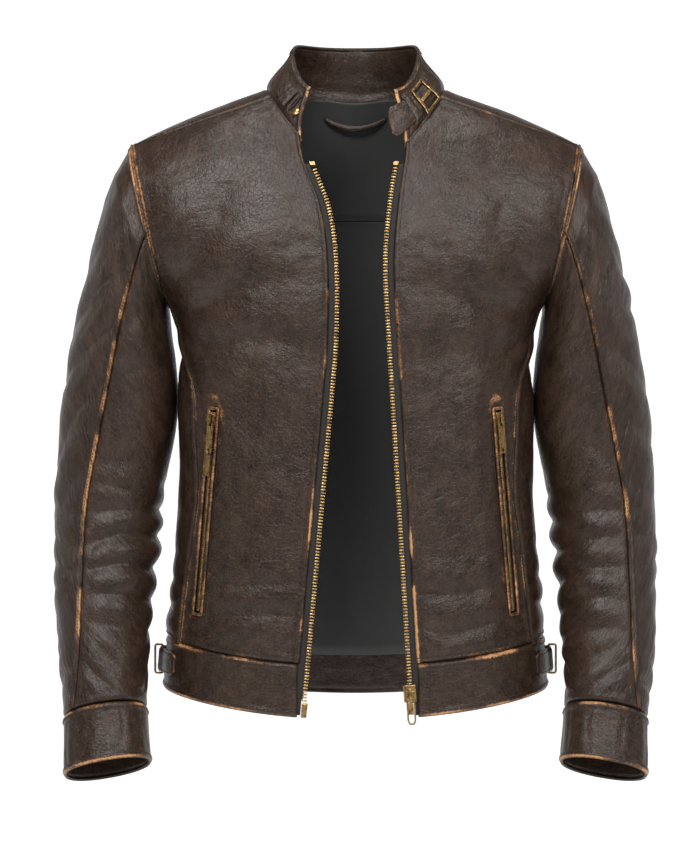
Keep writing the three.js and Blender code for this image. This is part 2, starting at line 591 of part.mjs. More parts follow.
// A flat tab whose top bar lies under the arch. Its window clears the arch at every angle.
function pullTab(face, width, length, hole) {
  const { y, z } = pullPivot(face);
  const barTop = z + PULL_THICK / 2;
  const window = { half: BRIDGE.width / 2 + 0.6, low: z - 2 * BRIDGE.reach - 0.6,
    high: z - PULL_THICK / 2 };
  const shape = new THREE.Shape();
  const [w, r] = [width / 2, 2.2];
  shape.moveTo(w, barTop);
  shape.lineTo(-w, barTop);
  shape.lineTo(-w, barTop - length + r);
  shape.absarc(r - w, barTop - length + r, r, Math.PI, 1.5 * Math.PI, false);
  shape.absarc(w - r, barTop - length + r, r, 1.5 * Math.PI, 2 * Math.PI, false);
  const opening = new THREE.Path();
  opening.moveTo(-window.half, window.high);
  opening.lineTo(window.half, window.high);
  opening.lineTo(window.half, window.low);
  opening.lineTo(-window.half, window.low);
  shape.holes.push(opening);
  if (hole > 0) {
    const eye = new THREE.Path();
    eye.absarc(0, barTop - length + hole + 1.5, hole, 0, 2 * Math.PI, true);
    shape.holes.push(eye);
  }
  const geometry = new THREE.ExtrudeGeometry(shape, { depth: PULL_THICK, bevelEnabled: false,
    curveSegments: 5 });
  return solidFrom(geometry.rotateX(Math.PI / 2).translate(0, y + PULL_THICK / 2, 0));
}

// ---- Pockets ----
// A group whose own +Z runs up the line from low to high and whose +Y faces out of the jacket.
function faceGroup(low, high) {
  const up = high.clone().sub(low).normalize();
  const middle = low.clone().add(high).multiplyScalar(0.5);
  const onFace = torsoFace(middle.x, middle.z, 0);
  const out = onFace.clone().sub(torsoFace(middle.x, middle.z, 10)).normalize();
  out.addScaledVector(up, -out.dot(up)).normalize();
  const across = new THREE.Vector3().crossVectors(out, up);
  const group = new THREE.Group();
  group.quaternion.setFromRotationMatrix(new THREE.Matrix4().makeBasis(across, out, up));
  group.position.copy(middle.addScaledVector(out, onFace.sub(middle).dot(out) / 2));
  group.updateMatrixWorld(true);
  return group;
}
const pocketEnds = (side) =>
  [POCKET_LOW, POCKET_TOP].map(({ x, z }) => torsoFace(side * x, z, 0));
const pocketLength = (side) => {
  const [low, high] = pocketEnds(side);
  return high.distanceTo(low);
};
function pocketHole(side) {
  const [low, high] = pocketEnds(side);
  const length = pocketLength(side) + 2 * WELT_END + 2 * GAP;
  const geometry = new THREE.BoxGeometry(WELT_WIDTH + 2 * GAP, 30, length);
  return solidFrom(geometry.applyMatrix4(faceGroup(low, high).matrixWorld));
}
function pocket(side, name) {
  const [low, high] = pocketEnds(side);
  const group = faceGroup(low, high);
  const length = pocketLength(side);
  const weltBack = WELT_PROUD - 3;
  const welt = box(WELT_WIDTH, 3, length + 2 * WELT_END, 0, WELT_PROUD - 1.5)
    .subtract(box(WELT_SLOT, 9, length + 2));
  const tapeFace = weltBack - GAP;
  const chainFace = tapeFace + GAP + POCKET_CHAIN_THICK;
  const { width, length: run } = POCKET_SLIDER;
  const plate = chainFace + RUNNING;
  const sliderFace = plate + 1.2;
  const slider = box(width, sliderFace - tapeFace - GAP, run, 0, (sliderFace + tapeFace + GAP) / 2)
    .subtract(box(POCKET_CHAIN_WIDTH + 2 * RUNNING, 20, run + 2, 0, plate - 10))
    .add(pullArch(sliderFace));
  const atTop = length / 2 - run / 2 - 1;
  const carriage = new THREE.Group();
  carriage.position.z = atTop;
  carriage.add(mesh(name + "_pocket_slider", slider, brass));
  carriage.add(mesh(name + "_pocket_pull", pullTab(sliderFace, POCKET_PULL.width, POCKET_PULL.length,
    POCKET_PULL.hole), brass));
  if (side < 0) carriage.add(mesh(name + "_pocket_leaf", pocketLeaf(sliderFace), brass));
  group.add(mesh(name + "_pocket_welt", welt, wornLeather));
  group.add(mesh(name + "_pocket_tape", box(WELT_WIDTH - 2, TAPE, length + 2, 0, tapeFace - TAPE / 2),
    tapeCloth));
  group.add(mesh(name + "_pocket_chain", box(POCKET_CHAIN_WIDTH, POCKET_CHAIN_THICK, length, 0,
    chainFace - POCKET_CHAIN_THICK / 2), brass));
  group.add(carriage);
  return group;
}
// A second leaf that hangs by a ring through the tab's eye.
function leafPivot(face) {
  const { y, z } = pullPivot(face);
  return { y, z: z + PULL_THICK / 2 - POCKET_PULL.length + 0.75 };
}
function pocketLeaf(face) {
  const { y, z } = leafPivot(face);
  const ring = new THREE.TorusGeometry(LEAF_RING.radius, LEAF_RING.wire, 6,
    12).rotateY(Math.PI / 2).translate(0, y, z);
  const plate = box(POCKET_LEAF.width, POCKET_LEAF.thick, POCKET_LEAF.length, 0, y,
    z - LEAF_RING.radius - POCKET_LEAF.length / 2);
  return solidFrom(ring).add(plate);
}
function pocketBag(side) {
  const depth = [LEATHER + SEAT + 0.3, LINING_DEPTH - 2.2];
  return loft(steps(POCKET_LOW.z - 14, POCKET_TOP.z + 4, 8).map((z) => {
    const t = (z - POCKET_LOW.z) / (POCKET_TOP.z - POCKET_LOW.z);
    const outerX = POCKET_LOW.x + (POCKET_TOP.x - POCKET_LOW.x) * t - 9;
    const innerX = Math.abs(edgeAt(side, z)) + FACING_WIDTH + 2;
    const xs = steps(innerX, outerX, 3).map((x) => side * x);
    return [...xs.map((x) => torsoFace(x, z, depth[0])), ...[...xs].reverse().map((x) => torsoFace(x,
      z, depth[1]))];
  }));
}

// ---- Main zip ends, slider and pull ----
function mainSlider() {
  const chainLine = (z) => torsoFace(edgeAt(1, z) - chainNear - CHAIN_WIDTH / 2, z, chainDepth);
  const group = faceGroup(chainLine(MAIN_SLIDER.rest - 10), chainLine(MAIN_SLIDER.rest + 10));
  group.position.copy(chainLine(MAIN_SLIDER.rest));
  const { width, length, thick } = MAIN_SLIDER;
  const far = chainNear + CHAIN_WIDTH / 2 - 2.6; // the open side stops short of the leather edge
  const bodyX = width / 2 - far;
  const body = box(width, thick, length, bodyX)
    .subtract(box(20, CHAIN_THICK + 2 * RUNNING, length + 2, CHAIN_WIDTH / 2 + RUNNING - 10))
    .add(pullArch(thick / 2).translate(bodyX, 0, 0));
  const wire = new THREE.Shape();
  const { y, z: barZ } = pullPivot(thick / 2);
  const frame = (w, top, low) => [[w, low + w], [w, top], [-w, top], [-w, low + w], [-w * 0.6, low],
    [w * 0.6, low]];
  const barTop = barZ + PULL_THICK / 2;
  const outline = frame(MAIN_PULL.width / 2, barTop, barTop - MAIN_PULL.length);
  const hole = frame(MAIN_PULL.width / 2 - MAIN_PULL.wire, barTop - PULL_THICK,
    barTop - MAIN_PULL.length + MAIN_PULL.wire);
  wire.setFromPoints(outline.map(([px, pz]) => new THREE.Vector2(px, pz)));
  wire.holes.push(new THREE.Path(hole.map(([px, pz]) => new THREE.Vector2(px, pz))));
  const loop = new THREE.ExtrudeGeometry(wire, { depth: PULL_THICK, bevelEnabled: false });
  const pull = solidFrom(loop.rotateX(Math.PI / 2).translate(bodyX, y + PULL_THICK / 2, 0));
  group.add(mesh("zip_slider", body, brass));
  group.add(mesh("zip_pull", pull, brass));
  return group;
}
const zipEnd = (side, length) => {
  const { past, short, half } = ZIP_END;
  return edgeStrip(side, -chainNear - CHAIN_WIDTH - past, -chainNear - short, chainDepth - half,
    chainDepth + half,
    CHAIN_LOW - GAP - length, CHAIN_LOW - GAP, 3);
};
const topStop = (side) => edgeStrip(side, -chainNear - CHAIN_WIDTH, -chainNear, chainDepth - TOP_STOP.half,
  chainDepth + TOP_STOP.half, CHAIN_HIGH + GAP, CHAIN_HIGH + GAP + TOP_STOP.length, 2);

// ---- Side adjusters ----
const bandSide = (y, z, standoff) => {
  const depth = depthAt(y, z);
  const x = halfWidth(z) * (1 - (Math.abs(y) / depth) ** ROUNDNESS) ** (1 / ROUNDNESS);
  return inset({ x, y, z }, -standoff);
};
const adjusterLevel = -HEM_DROP + BAND_HEIGHT / 2;
function adjusterStrap(side) {
  const [low, high] = [adjusterLevel - ADJUSTER.width / 2, adjusterLevel + ADJUSTER.width / 2];
  return loft(steps(-ADJUSTER.reach, ADJUSTER.reach, 16).map((y) => {
    const rise = SEAT + (ADJUSTER.wire + 3) * Math.exp(-((y / 12) ** 4));
    const [a, b] = [rise, rise + ADJUSTER.thick];
    const section = [bandSide(y, low, a), bandSide(y, low, b), bandSide(y, high, b), bandSide(y, high, a)];
    return turned(side, section);
  }));
}
function adjusterRing(side) {
  const base = bandSide(0, adjusterLevel - ADJUSTER.ring / 2, 0).x + 0.6;
  const [w, h, wire] = [ADJUSTER.stand / 2, ADJUSTER.ring / 2, ADJUSTER.wire];
  const rounded = (halfX, halfZ, r) => {
    const path = new THREE.Shape();
    path.absarc(halfX - r, halfZ - r, r, 0, Math.PI / 2, false);
    path.absarc(r - halfX, halfZ - r, r, Math.PI / 2, Math.PI, false);
    path.absarc(r - halfX, r - halfZ, r, Math.PI, 1.5 * Math.PI, false);
    path.absarc(halfX - r, r - halfZ, r, 1.5 * Math.PI, 2 * Math.PI, false);
    return path;
  };
  const shape = rounded(w, h, 3.4);
  shape.holes.push(rounded(w - wire, h - wire, 0.6));
  const geometry = new THREE.ExtrudeGeometry(shape, { depth: wire, bevelEnabled: false, curveSegments: 3 });
  geometry.rotateX(Math.PI / 2).translate(base + w, wire / 2, adjusterLevel);
  return solidFrom(side > 0 ? geometry : geometry.scale(-1, 1, 1));
}

// ---- Assembly ----
const jacket = new THREE.Group();
const add = (name, solid, material = leather) => jacket.add(mesh(name, solid, material));
const collar = collarParts();

add("back_panel", backPanel());
add("shoulder_yoke", shoulderYoke());
add("back_hem_band", backBand());
add("collar_back", collar.back);
add("collar_left", collar.left);
add("collar_right", collar.right);
add("body_lining", bodyLining(), liningCloth);
add("hanger_loop", hangerLoop(), leather);
for (const [side, name] of [[1, "left"], [-1, "right"]]) {
  add(name + "_front_panel", frontPanel(side));
  add(name + "_side_panel", sidePanel(side));
  add(name + "_hem_band", frontBand(side));
  add(name + "_front_facing", facing(side));
  add(name + "_zip_tape", zipTape(side), tapeCloth);
  add(name + "_zip_chain", zipChain(side), brass);
  add(name + "_zip_top_stop", topStop(side), brass);
  add(name + "_top_sleeve", sleevePart(side, true));
  add(name + "_under_sleeve", sleevePart(side, false));
  add(name + "_cuff", cuff(side), wornLeather);
  add(name + "_sleeve_lining", sleeveLining(side), liningCloth);
  add(name + "_pocket_bag", pocketBag(side), liningCloth);
  add(name + "_adjuster_strap", adjusterStrap(side));
  add(name + "_adjuster_ring", adjusterRing(side), brass);
  jacket.add(pocket(side, name));
}
add("zip_retainer_box", zipEnd(1, ZIP_END.box), brass);
add("zip_insertion_pin", zipEnd(-1, ZIP_END.pin), brass);
jacket.add(mainSlider());
add("collar_strap", collarStrap());
add("collar_strap_keeper", collarKeeper());
add("collar_buckle", buckleFrame(), brass);
add("collar_prong", buckleProng(), brass);
add("collar_loop", collarLoop());
add("collar_stud", collarStud(), brass);

export default jacket;
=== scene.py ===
"""The looks of a worn stand-collar riding jacket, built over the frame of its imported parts.

Metres, +Z up. The front of the jacket faces -Y and +X is the wearer's left.
"""

import json
import logging
import math
from dataclasses import dataclass, field, replace
from enum import Enum
from typing import Sequence

import bmesh
import bpy
import numpy as np
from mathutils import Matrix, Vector


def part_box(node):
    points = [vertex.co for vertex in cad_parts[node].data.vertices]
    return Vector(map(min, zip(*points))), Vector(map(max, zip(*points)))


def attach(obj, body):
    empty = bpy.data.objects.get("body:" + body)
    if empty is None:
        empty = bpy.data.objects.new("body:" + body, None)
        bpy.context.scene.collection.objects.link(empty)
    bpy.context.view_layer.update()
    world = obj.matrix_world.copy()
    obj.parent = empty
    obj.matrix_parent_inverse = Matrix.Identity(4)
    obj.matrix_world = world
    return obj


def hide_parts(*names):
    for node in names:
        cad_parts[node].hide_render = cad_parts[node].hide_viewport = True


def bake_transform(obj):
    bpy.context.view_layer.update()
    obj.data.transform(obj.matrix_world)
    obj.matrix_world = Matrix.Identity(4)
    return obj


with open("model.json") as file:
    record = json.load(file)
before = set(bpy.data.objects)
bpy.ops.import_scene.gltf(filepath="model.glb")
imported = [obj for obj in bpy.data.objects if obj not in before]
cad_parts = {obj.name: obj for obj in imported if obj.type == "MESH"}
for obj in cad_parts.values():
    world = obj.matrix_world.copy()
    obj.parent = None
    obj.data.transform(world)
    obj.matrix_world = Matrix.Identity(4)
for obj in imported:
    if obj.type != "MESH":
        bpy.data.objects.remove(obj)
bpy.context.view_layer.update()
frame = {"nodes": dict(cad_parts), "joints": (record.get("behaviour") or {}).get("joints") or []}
logging.basicConfig(level=logging.INFO, format="%(message)s")
log = logging.getLogger("jacket")

Array = np.ndarray
MM = 0.001


# ---------------------------------------------------------------- plain maths
def smooth(x: Array, low: float = 0.0, high: float = 1.0) -> Array:
    """A soft step.

    Args:
        x: where to look.
        low: the value at which the step starts.
        high: the value at which it is done.

    Returns:
        0 before low, 1 after high, and a smooth rise between.
    """
    t = np.clip((np.asarray(x, float) - low) / (high - low), 0, 1)
    return t * t * (3 - 2 * t)


def hump(x: Array, middle: float, width: float) -> Array:
    """A bell of height 1 about middle, that has fallen to a third at one width away."""
    return np.exp(-(((np.asarray(x, float) - middle) / width) ** 2))


def unit(v: Array) -> Array:
    """Vectors along the last axis, brought to length 1."""
    return v / np.maximum(np.linalg.norm(v, axis=-1, keepdims=True), 1e-12)


class Noise:
    """Smooth random numbers from 0 to 1 over space: a random value at each point of a cubic lattice, blended
    between the eight nearest by soft steps."""

    def __init__(self, seed: int) -> None:
        self.values = np.random.RandomState(seed).rand(4096)

    def _corner(self, cell: Array) -> Array:
        """The random value of a lattice point."""
        x, y, z = (cell[..., i].astype(np.int64) for i in range(3))
        return self.values[(x * 73 + y * 157 + z * 311 + x * y * 7 + y * z * 13) & 4095]

    def at(self, p: Array, size: float) -> Array:
        """The noise at points p, with bumps about size metres across."""
        q = p / size
        cell = np.floor(q)
        t = q - cell
        t = t * t * (3 - 2 * t)
        total = np.zeros(p.shape[:-1])
        for dx in (0, 1):
            for dy in (0, 1):
                for dz in (0, 1):
                    step = np.array([dx, dy, dz])
                    weight = np.prod(np.where(step == 1, t, 1 - t), axis=-1)
                    total += weight * self._corner(cell + step)
        return total

    def rough(self, p: Array, size: float) -> Array:
        """Three sizes of the noise added up, each half as large and half as strong as the last."""
        return (self.at(p, size) * 4 + self.at(p + 3.1, size / 2) * 2 + self.at(p + 7.7, size / 4)) / 7


@dataclass(frozen=True)
class Curve:
    """A smooth line through (position, value) pairs in rising order of position: a cubic between each pair, with
    slopes taken from the neighbours, held level beyond its ends."""

    points: tuple[tuple[float, float], ...]

    def __call__(self, position: Array) -> Array:
        """The value at each position."""
        x = np.array([p[0] for p in self.points])
        v = np.array([p[1] for p in self.points])
        at = np.clip(np.asarray(position, float), x[0], x[-1])
        i = np.clip(np.searchsorted(x, at, side="right") - 1, 0, len(x) - 2)
        before, after = np.where(i > 0, i - 1, i + 1), np.where(i < len(x) - 2, i + 2, i)
        t0, t1 = x[i], x[i + 1]
        half, p = 0.5 * (t1 - t0), (at - t0) / (t1 - t0)
        wp, wn = half / (t0 - x[before]), half / (x[after] - t1)
        return (
            v[before] * (-wp * p**3 + 2 * wp * p**2 - wp * p)
            + v[i] * ((1 + wp) * p**3 + (-1.5 - 2 * wp) * p**2 + (-0.5 + wp) * p + 1)
            + v[i + 1] * ((-1 - wn) * p**3 + (1.5 + wn) * p**2 + 0.5 * p)
            + v[after] * (wn * p**3 - wn * p**2)
        )


def through(*points: tuple[float, float]) -> Curve:
    """A curve through pairs given in millimetres."""
    return Curve(tuple((a * MM, b * MM) for a, b in points))


def resample(line: Array, count: int) -> Array:
    """A polyline's points, spaced evenly along its length.

    Args:
        line: points, one a row.
        count: how many points to return.

    Returns:
        The new points, ends included.
    """
    run = np.concatenate([[0], np.cumsum(np.linalg.norm(np.diff(line[:, :3], axis=0), axis=1))])
    at = np.linspace(0, run[-1], count)
    return np.stack([np.interp(at, run, line[:, i]) for i in range(line.shape[1])], 1)


def joined(parts: Sequence[tuple[Array, float]], count: int) -> Array:
    """Several polylines end to end, each with its own share of the points.

    Args:
        parts: each line, with its share from 0 to 1.
        count: how many points in all.

    Returns:
        The points of the whole line.
    """
    shares = np.cumsum([0.0] + [share for _, share in parts])
    knots = np.round(shares / shares[-1] * (count - 1)).astype(int)
    rows = [resample(line, knots[i + 1] - knots[i] + 1)[(i > 0):] for i, (line, _) in enumerate(parts)]
    return np.concatenate(rows)


def coons(low: Array, high: Array, first: Array, last: Array) -> Array:
    """A grid filled in from its four edges: the two straight blends across it are added up, and the blend of its
    corners is taken off once.

    Args:
        low: the row at the bottom, first point to last.
        high: the row at the top.
        first: the column that joins their first points, bottom to top.
        last: the column that joins their last points.

    Returns:
        Points as (rows, columns, 3).
    """
    u = np.linspace(0, 1, len(low))[None, :, None]
    v = np.linspace(0, 1, len(first))[:, None, None]
    corners = (
        (1 - u) * (1 - v) * low[0] + u * (1 - v) * low[-1] + (1 - u) * v * high[0] + u * v * high[-1]
    )
    return (1 - v) * low[None] + v * high[None] + (1 - u) * first[:, None] + u * last[:, None] - corners


def grid_normals(p: Array, ring: bool = False) -> Array:
    """Normals of a grid of points, from the cross product of the steps along its columns and rows.

    Args:
        p: points as (rows, columns, 3).
        ring: whether the columns run round and join up.

    Returns:
        Unit normals of the same shape.
    """
    if ring:
        across = np.roll(p, -1, 1) - np.roll(p, 1, 1)
    else:
        across = np.gradient(p, axis=1)
    return unit(np.cross(across, np.gradient(p, axis=0)))


# ---------------------------------------------------------------- the jacket's form
@dataclass(frozen=True)
class Form:
    """The jacket's drawing: the torso's surface, its seam lines, the collar and the sleeves."""

    shoulder: float = 233 * MM
    shoulder_drop: float = 42 * MM
    underarm: float = 205 * MM
    lean: float = math.radians(12.25)
    fullness: float = 2.5
    hem: float = 606 * MM
    hem_half: float = 201 * MM
    hem_dip: float = 22 * MM
    band: float = 54 * MM
    neck_half: float = 93 * MM
    neck_front: float = 95 * MM
    neck_back: float = 78 * MM
    neck_y: float = -4 * MM
    neck_rise: float = 16 * MM
    yoke_back: float = 105 * MM
    side_back: float = 38 * MM
    front_seam_top: float = -183.8 * MM  # where the side seam meets the armhole in front
    back_seam_top: float = -195.5 * MM
    back_seam_foot: float = -552 * MM
    collar_top: tuple[float, float, float] = (68 * MM, 76 * MM, 66 * MM)
    collar_seam: float = 7 * MM
    half_width: Curve = through(
        (-656, 204), (-606, 201), (-450, 189), (-330, 185), (-205, 197.6), (-165, 237.4), (-115, 276),
        (-80, 276), (-42, 233), (16, 96), (28, 55.8),
    )
    front_depth: Curve = through(
        (-656, 116), (-450, 116), (-330, 116), (-225, 116), (-200, 116), (-120, 107), (-42, 82), (16, 40), (28, 30),
    )
    back_depth: Curve = through((-656, 104), (-330, 110), (-205, 114), (-42, 92), (16, 74), (28, 66))
    left_edge: Curve = through(
        (-720, 69.92), (-480, 55.28), (-220, 39.42), (-200, 38.2), (-155, 38), (-105, 43), (-50, 50), (-11, 44),
        (12, 39), (90, 39),
    )
    right_edge: Curve = through(
        (-720, 69.54), (-480, 47.94), (-284, 30.3), (-264, 28.5), (-159, 28.5), (-112, 36), (-57, 55), (-17, 54),
        (14, 47), (90, 47),
    )
    side_seam: Curve = through(
        (-720, 188), (-575, 182), (-509, 175), (-453, 168), (-407, 161), (-350, 163), (-290, 168), (-265, 176),
        (-225, 186), (-180, 207),
    )
    sleeve_seam: Curve = through(
        (-660, 288), (-570, 280), (-510, 279), (-413, 275), (-352, 264), (-302, 254), (-217, 236), (-138, 212),
        (-110, 198),
    )
    collar_rise: Curve = Curve(
        ((-1, 4 * MM), (-0.72, 12 * MM), (-0.4, 32 * MM), (-0.1, 54 * MM), (0.3, 67 * MM), (1, 72 * MM))
    )

    def depth(self, y: Array, z: Array) -> Array:
        """Half depth of the front or the back at height z, by the sign of y."""
        return np.where(np.asarray(y) < 0, self.front_depth(z), self.back_depth(z))

    def field(self, p: Array) -> Array:
        """Under 1 inside the torso and over 1 outside it: the superellipse of each level section."""
        x, y, z = p[..., 0], p[..., 1], p[..., 2]
        wide = np.abs(x) / self.half_width(z)
        return wide**self.fullness + (np.abs(y) / self.depth(y, z)) ** self.fullness

    def inset(self, p: Array, depth: float) -> Array:
        """Points moved inwards, square to the torso's surface."""
        h = 0.5 * MM
        steps = np.eye(3) * h
        slope = np.stack([self.field(p + s) - self.field(p - s) for s in steps], -1)
        return p - unit(slope) * depth

    def round_point(self, angle: Array, z: Array, depth: float = 0.0) -> Array:
        """The torso's surface at an angle round it, 0 at the wearer's left and -90 degrees in front."""
        angle, z = np.broadcast_arrays(np.asarray(angle, float), np.asarray(z, float))
        bent = 2 / self.fullness
        x = self.half_width(z) * np.sign(np.cos(angle)) * np.abs(np.cos(angle)) ** bent
        y = self.depth(np.sin(angle), z) * np.sign(np.sin(angle)) * np.abs(np.sin(angle)) ** bent
        return self.inset(np.stack([x, y, z], -1), depth)

    def face(self, x: Array, z: Array, depth: float = 0.0, facing: int = -1) -> Array:
        """The torso's front (facing -1) or back (1) at a given x and z."""
        x, z = np.broadcast_arrays(np.asarray(x, float), np.asarray(z, float))
        rest = np.maximum(0, 1 - (np.abs(x) / self.half_width(z)) ** self.fullness) ** (1 / self.fullness)
        return self.inset(np.stack([x, facing * self.depth(np.full(z.shape, facing), z) * rest, z], -1), depth)

    def onto(self, p: Array, centre: Array) -> Array:
        """Points slid along the line from an inner centre until they lie on the torso's surface."""
        low, high = np.full(p.shape[:-1], 0.5), np.full(p.shape[:-1], 1.6)
        for _ in range(32):
            middle = (low + high) / 2
            out = self.field(centre + (p - centre) * middle[..., None]) > 1
            high, low = np.where(out, middle, high), np.where(out, low, middle)
        return centre + (p - centre) * low[..., None]

    def edge(self, side: int, z: Array) -> Array:
        """x of the zip edge of one side."""
        return side * (self.left_edge(z) if side > 0 else self.right_edge(z))

    def band_top(self, x: Array) -> Array:
        """Height of the seam over the hem band."""
        return -self.hem + self.band - self.hem_dip * (1 - (x / self.hem_half) ** 2)

    def yoke_front(self, x: Array) -> Array:
        """Height of the yoke's front seam."""
        return 2 * MM - 0.345 * (np.abs(x) - self.neck_half)

    def armhole_x(self, z: Array) -> Array:
        """|x| of the armhole plane."""
        return self.shoulder + math.tan(self.lean) * (z + self.shoulder_drop)

    def armhole(self, side: int, facing: int, low: float, high: float, count: int = 40) -> Array:
        """The armhole's outline from height low to high on the front or the back."""
        z = np.linspace(low, high, count)
        return self.face(side * np.minimum(self.armhole_x(z), self.half_width(z)), z, 0, facing)

    def under(self, x: Array, z: Array, depth: float) -> tuple[Array, Array]:
        """Points at a depth below the torso's front, and the direction straight out of it there."""
        p = self.face(x, z, depth)
        return p, unit(self.face(x, z) - p)

    def yoke_seam(self, side: int, start: float) -> Array:
        """The yoke's front seam on one side, from a given |x| at the neck to the armhole."""
        x = np.linspace(start, self.shoulder, 80)
        z = self.yoke_front(x)
        return self.face(side * np.minimum(x, self.armhole_x(z)), z)[:-1]

    def back_seam(self, side: int) -> Array:
        """The seam between a side panel and the back, from the hem band to the armhole."""
        z = np.linspace(self.back_seam_foot, self.back_seam_top, 80)
        rest = 1 - (self.side_back / self.back_depth(z)) ** self.fullness
        x = self.half_width(z) * rest ** (1 / self.fullness)
        return np.stack([side * x, np.full(z.shape, self.side_back), z], -1)

    def pocket_ends(self, side: int) -> tuple[Array, Array]:
        """The top and the foot of one pocket's zip."""
        return self.face(side * 144 * MM, -320 * MM), self.face(side * 161 * MM, -523 * MM)

    def neck_front_run(self) -> tuple[Array, Array, int]:
        """Angles down the left front of the neck, its points there, and which of them meets the yoke's seam."""
        angles = np.linspace(-0.02, -1.35, 400)
        neck = self.neck(angles)
        return angles, neck, int(np.argmin(np.abs(neck[:, 2] - self.yoke_front(neck[:, 0]))))

    def rim(self, x: Array, y: Array) -> Array:
        """Height at which the torso's face meets an upright line."""
        low, high = np.full(np.shape(x), -0.14), np.full(np.shape(x), self.neck_rise + 11 * MM)
        for _ in range(32):
            middle = (low + high) / 2
            out = self.field(np.stack([x, y, middle], -1)) > 1
            high, low = np.where(out, middle, high), np.where(out, low, middle)
        return low

    def neck(self, angle: Array) -> Array:
        """The neck's outline on the torso."""
        reach = np.where(np.sin(angle) > 0, self.neck_back, self.neck_front)
        x, y = self.neck_half * np.cos(angle), self.neck_y + reach * np.sin(angle)
        return np.stack([x, y, self.rim(x, y)], -1)

    def collar(self, angle: Array, t: Array, outwards: Array = 0.0) -> Array:
        """The collar's face: ellipses that draw in from the neck seam (t 0) to its top (t 1)."""
        angle, t, outwards = np.broadcast_arrays(*(np.asarray(v, float) for v in (angle, t, outwards)))
        lean = smooth(t, 0.16, 1)
        half, front, back = self.collar_top
        base, top = (self.neck_half, self.neck_front, self.neck_back), (half, front, back)
        wide, fore, aft = (a + (b - a) * lean + outwards for a, b in zip(base, top))
        rear = np.sin(angle) > 0
        x, y = np.cos(angle) * wide, self.neck_y + np.sin(angle) * np.where(rear, aft, fore)
        foot_y = self.neck_y + np.sin(angle) * np.where(rear, self.neck_back, self.neck_front)
        low = self.rim(np.cos(angle) * self.neck_half, foot_y) - self.collar_seam
        return np.stack([x, y, low + (self.collar_rise(np.sin(angle)) - low) * t], -1)


FORM = Form()


@dataclass(frozen=True)
class SleeveForm:
    """One sleeve's tube: level stations from the armhole to the wrist, each an oval between an outer and an inner
    point, with its half depth, the y of its middle and how far it tips forwards in degrees."""

    side: int
    stations: tuple[tuple[float, ...], ...] = (
        (252, -71, 197.5, -214, 83, 2, 0), (266, -115, 196.5, -224, 82, 3, 0), (279, -170, 194.5, -242, 79, 3, 0),
        (292, -225, 191, -266, 76, 4, 0), (302, -280, 188.5, -300, 72, 5, 0), (309, -335, 190.5, -337, 69, 6, 0),
        (313, -390, 199, -385, 66, 4, 0), (315, -440, 205, -435, 63, -2, 6), (313, -500, 208, -490, 58, -18, 14),
        (306, -570, 214, -560, 52, -42, 19), (297, -634, 213, -621, 46, -66, 20), (294, -690, 207, -674, 44, -86, 20),
    )
    fill: float = 0.92

    def _station(self, s: Array) -> Array:
        """The stations' numbers at places s, 1 for the first and 12 for the last, smoothly between."""
        rows = np.array(self.stations)
        at = np.arange(1, len(rows) + 1, dtype=float)
        return np.stack([Curve(tuple(zip(at, rows[:, i])))(s) for i in range(rows.shape[1])], -1)

    def _armhole(self, angle: Array, depth: float) -> Array:
        """The armhole's outline on its plane."""
        high, low = -FORM.shoulder_drop, -FORM.underarm
        middle, tall = (high + low) / 2, (high - low) / 2 - 0.5 * MM
        z = middle + tall * np.cos(angle)
        rest = np.maximum(0, 1 - (FORM.armhole_x(z) / FORM.half_width(z)) ** FORM.fullness) ** (1 / FORM.fullness)
        y = np.sign(np.sin(angle)) * FORM.depth(np.sin(angle), z) * rest
        shrink = 1 - depth / 0.082
        at = middle + (z - middle) * shrink
        return np.stack([FORM.armhole_x(at), y * shrink, at], -1)

    def point(self, angle: Array, s: Array, depth: float = 0.0) -> Array:
        """The sleeve's surface, at an angle round it (0 outermost, 90 degrees at the back) and a place s along
        it, 0 at the armhole. Ovals are drawn out from their middles, and the first blends into the armhole."""
        angle, s = np.broadcast_arrays(np.asarray(angle, float), np.asarray(s, float))
        row = self._station(np.maximum(s, 1))
        half, middle_y, tip = row[..., 4] * MM, row[..., 5] * MM, np.radians(row[..., 6])
        outer = np.stack([row[..., 0] * MM, middle_y, row[..., 1] * MM], -1)
        inner = np.stack([row[..., 2] * MM, middle_y, row[..., 3] * MM], -1)
        centre, across = (outer + inner) / 2, (outer - inner) / 2
        reach = np.linalg.norm(across, axis=-1)
        along = np.stack([np.zeros(tip.shape), np.cos(tip), -np.sin(tip)], -1)
        c = np.sign(np.cos(angle)) * np.abs(np.cos(angle)) ** self.fill
        d = np.sign(np.sin(angle)) * np.abs(np.sin(angle)) ** self.fill
        ring = centre + unit(across) * ((reach - depth) * c)[..., None] + along * ((half - depth) * d)[..., None]
        share = smooth(s, 0, 1)[..., None] * 0.35 + np.clip(s, 0, 1)[..., None] * 0.65
        p = ring * share + self._armhole(angle, depth) * (1 - share)
        return p * np.array([self.side, 1, 1])

    def seam(self, s: Array, back: bool) -> Array:
        """The angle at which the sleeve's front or back seam crosses each place s."""
        s = np.asarray(s, float)
        low, high = np.zeros(s.shape), np.full(s.shape, math.pi if back else -math.pi)
        for _ in range(32):
            middle = (low + high) / 2
            p = self.point(middle, s)
            outside = np.abs(p[..., 0]) > FORM.sleeve_seam(p[..., 2])
            low, high = np.where(outside, middle, low), np.where(outside, high, middle)
        return low


